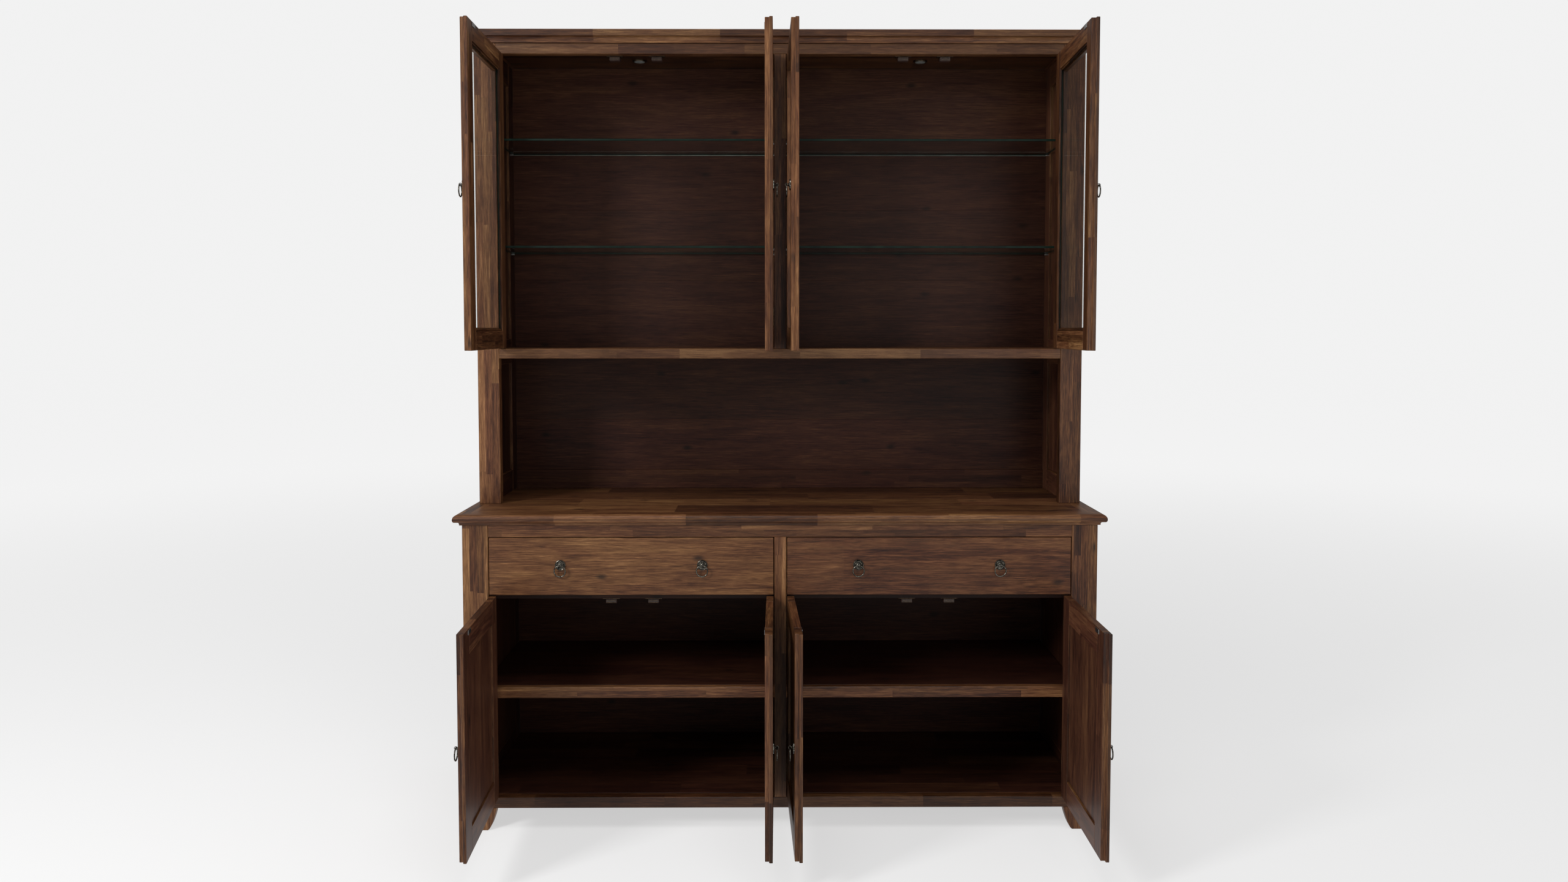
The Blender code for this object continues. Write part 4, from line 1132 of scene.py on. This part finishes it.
# %% Hinges
KNUCKLE = 0.0021
HINGE = 0.050
HINGE_IN = 0.085  # from the leaf's top and foot
FRAME_LEAF = (0.0012, 0.0019)
DOOR_LEAF = (0.0002, 0.0009)
FRAME_LEAF_DEPTH = 0.022
THIN_ARRIS = 0.0002
for level, size in LEVELS:
    spots = (HINGE_IN, size["height"] - HINGE_IN)
    if level == "upper":
        spots += (size["height"] / 2,)
    for place in PLACES:
        matrix, side = door_place(level, place)
        fixed = bmesh.new()
        moving = bmesh.new()
        for spot in spots:
            z = about(spot, HINGE / 2)
            frame_x = outwards(0.0, -side, FRAME_LEAF)
            block(fixed, frame_x, (0.0, FRAME_LEAF_DEPTH), z, THIN_ARRIS)
            block(moving, outwards(0.0, -side, DOOR_LEAF), (0.0, size["thick"]), z, THIN_ARRIS)
            barrel = [(0.0, z[0]), (KNUCKLE, z[0]), (KNUCKLE, z[1]), (0.0, z[1])]
            turned(fixed, barrel, Matrix.Identity(4), 14)
        name = f"{level}_{place}"
        still = Matrix.Translation(matrix.translation)
        finish_metal(fixed, f"{name}_frame_leaves", bronze, "carcass", still)
        finish_metal(moving, f"{name}_door_leaves", bronze, f"{name}_door", matrix)
print("hinges on", len(PLACES) * 2, "doors")

# %% Catches and strikes
CATCH = {  # its front, the bay's middle, half the gap between two, and the board above
    "upper": (HUTCH_FRONT + 0.0217, 0.388, 0.0565, FRIEZE_LOW),
    "lower": (FRONT + 0.0215, 0.384, 0.0548, DIVIDER[0]),
}
CATCH_DEPTH = 0.022
FLANGE_HALF = 0.022
CASE_HALF = 0.0145
JAW_HALF = 0.0125
STRIKE_HALF = 0.014
for level, size in LEVELS:
    front, centre, apart, ceiling = CATCH[level]
    back = front + CATCH_DEPTH
    top = ceiling - 0.0002
    flange_z = (top - 0.0016, top)
    case_z = (top - 0.0125, top - 0.0017)
    jaw_y = (front - 0.0008, back - 0.002)
    cases = bmesh.new()
    plates = bmesh.new()
    for x in [side * centre + way * apart for _, side in SIDES for way in (-1, 1)]:
        block(plates, about(x, FLANGE_HALF), (front + 0.001, back), flange_z, 0.0004)
        block(cases, about(x, CASE_HALF), (front + 0.0005, back), case_z, 0.0014)
        for z in (top - 0.0100, top - 0.0055):
            block(plates, about(x, JAW_HALF), jaw_y, about(z, 0.0008), THIN_ARRIS)
    finish_metal(cases, f"{level}_catch_cases", brown)
    finish_metal(plates, f"{level}_catch_plates", bronze)
    for place in PLACES:
        matrix, side = door_place(level, place)
        x = side * (size["width"] - apart)
        y = (size["thick"] + 0.0001, size["thick"] + 0.0013)
        z = (size["height"] - 0.0125, size["height"] - 0.0015)
        strike = bmesh.new()
        block(strike, about(x, STRIKE_HALF), y, z, 0.0004)
        name = f"{level}_{place}"
        finish_metal(strike, f"{name}_strike", steel, f"{name}_door", matrix)
print("8 catches and 8 strikes")

# %% Puck lights
LIGHT_RIM = (
    (0.0, 0.0), (20, 0.0), (20, -2.0), (19.2, -3.4), (17.0, -4.2), (15.4, -3.6), (0.0, -3.4),
)
LIGHT_LENS = ((0.0, -3.5), (14.6, -3.5), (13.8, -4.4), (9.0, -5.2), (0.0, -5.6))
PUCK_OUT = 0.399
PUCK_IN = 0.200
for name, side in SIDES:
    spot = (side * PUCK_OUT, HUTCH_FRONT + PUCK_IN, crown_low.z - FIT)
    place = Matrix.Translation(spot)
    bm = bmesh.new()
    turned(bm, millimetres(LIGHT_RIM), place, 40)
    finish_metal(bm, f"{name}_puck_rim", bronze)
    bm = bmesh.new()
    turned(bm, millimetres(LIGHT_LENS), place, 40)
    finish_piece(bm, f"{name}_puck_lens", [lens])
print("2 lights fitted")

# %% [markdown]
# ## What the back shows
# Behind, the back panels are held by small screws, and two steel plates join the hutch to the base.

# %% Screws and joining plates
SCREW = ((0.0, 0.0), (3.6, 0.0), (3.2, 0.8), (1.2, 1.0), (1.0, 0.5), (0.0, 0.4))
SCREW_ROWS = ((0.10, 0.78, 4), (0.86, 2.05, 6))  # lowest, highest and how many
SCREW_IN = 0.012
PLATE_OUT = 0.55
PLATE_HALF = 0.016
PLATE_Z = (0.775, 0.795)
bm = bmesh.new()
for lowest, highest, rows in SCREW_ROWS:
    for row in range(rows):
        z = lowest + (highest - lowest) * row / (rows - 1)
        for x in (-INSIDE + SCREW_IN, 0.0, INSIDE - SCREW_IN):
            out = Matrix.Translation((x, BACK_REAR, z)) @ Matrix.Rotation(-math.pi / 2, 4, "X")
            turned(bm, millimetres(SCREW), out, 12)
finish_metal(bm, "back_screws", steel)
bm = bmesh.new()
for x in (-PLATE_OUT, PLATE_OUT):
    y = (BACK_REAR + 0.0002, BACK_REAR + 0.0020)
    block(bm, about(x, PLATE_HALF), y, PLATE_Z, 0.0004)
finish_metal(bm, "joining_plates", steel)
print("back fastened")

# %% [markdown]
# ## Stage, light and camera
# A pale floor that is mostly its own light keeps the ground even, with only a soft shadow. The key
# light is a large soft box at the left, with a weaker one at the right and one above. The world is
# bright where it is seen, and dimmer where it only fills, so the inside of the cabinet stays deep.

# %% Floor and world
GLOW_NEAR = 0.56
GLOW_FAR = 0.74
scene = bpy.context.scene
bm = bmesh.new()
bmesh.ops.create_circle(bm, cap_ends=True, segments=96, radius=40.0)
floor_mesh = bpy.data.meshes.new("floor")
bm.to_mesh(floor_mesh)
bm.free()
floor = bpy.data.objects.new("floor", floor_mesh)
floor.location.z = -0.0005
scene.collection.objects.link(floor)
floor_material, floor_tree, floor_shader = new_material("pale_floor")
floor_shader.inputs["Base Color"].default_value = (0.40, 0.40, 0.40, 1.0)
floor_shader.inputs["Roughness"].default_value = 0.9
floor_shader.inputs["Specular IOR Level"].default_value = 0.1
floor_shader.inputs["Emission Color"].default_value = (1.0, 1.0, 1.0, 1.0)
spot = add_node(floor_tree, "TexCoord").outputs["Object"]
far = add_node(floor_tree, "VectorMath", {0: spot}, operation="LENGTH").outputs["Value"]
reach = {"Value": far, "From Min": 0.6, "From Max": 9.0, "To Min": GLOW_NEAR, "To Max": GLOW_FAR}
glow = add_node(floor_tree, "MapRange", reach, interpolation_type="SMOOTHSTEP").outputs[0]
floor_tree.links.new(glow, floor_shader.inputs["Emission Strength"])
floor_mesh.materials.append(floor_material)

SKY_SEEN = 0.885
SKY_FILL = 0.34
world = bpy.data.worlds.new("studio")
scene.world = world
world.use_nodes = True
sky = world.node_tree.nodes["Background"]
path = world.node_tree.nodes.new("ShaderNodeLightPath")
strength = add_node(world.node_tree, "Math", operation="MULTIPLY_ADD")
world.node_tree.links.new(path.outputs["Is Camera Ray"], strength.inputs[0])
strength.inputs[1].default_value = SKY_SEEN - SKY_FILL
strength.inputs[2].default_value = SKY_FILL
world.node_tree.links.new(strength.outputs[0], sky.inputs["Strength"])
sky.inputs["Color"].default_value = (1.0, 1.0, 1.0, 1.0)
print("sky seen at", SKY_SEEN, "and filling at", SKY_FILL)


# %% Lights
def soft_box(name, place, aim, size, power):
    light = bpy.data.lights.new(name, "AREA")
    light.shape = "RECTANGLE"
    light.size, light.size_y = size
    light.energy = power
    lamp = bpy.data.objects.new(name, light)
    scene.collection.objects.link(lamp)
    lamp.location = place
    lamp.rotation_euler = (Vector(aim) - Vector(place)).to_track_quat("-Z", "Y").to_euler()


soft_box("key", (-3.2, -2.9, 2.9), (0.0, 0.0, 1.0), (0.9, 1.2), 116.0)
soft_box("fill", (1.6, -4.4, 1.8), (0.0, 0.0, 1.1), (1.6, 2.2), 22.0)
soft_box("overhead", (0.0, -1.6, 4.2), (0.0, 0.1, 0.8), (2.6, 1.4), 45.0)
print("lights", len(bpy.data.lights))

# %% Camera
camera_data = bpy.data.cameras.new("camera")
camera_data.sensor_width = 36.0
camera_data.lens = 25.84
camera_data.shift_y = -0.0349
camera = bpy.data.objects.new("camera", camera_data)
scene.collection.objects.link(camera)
camera.location = (-0.0071, FRONT - 2.8709, 1.3052)
camera.rotation_euler = (math.pi / 2 - 0.0514, 0.0, -0.00576)
scene.camera = camera
scene.view_settings.view_transform = "Standard"
print("camera", [round(v, 3) for v in camera.location])
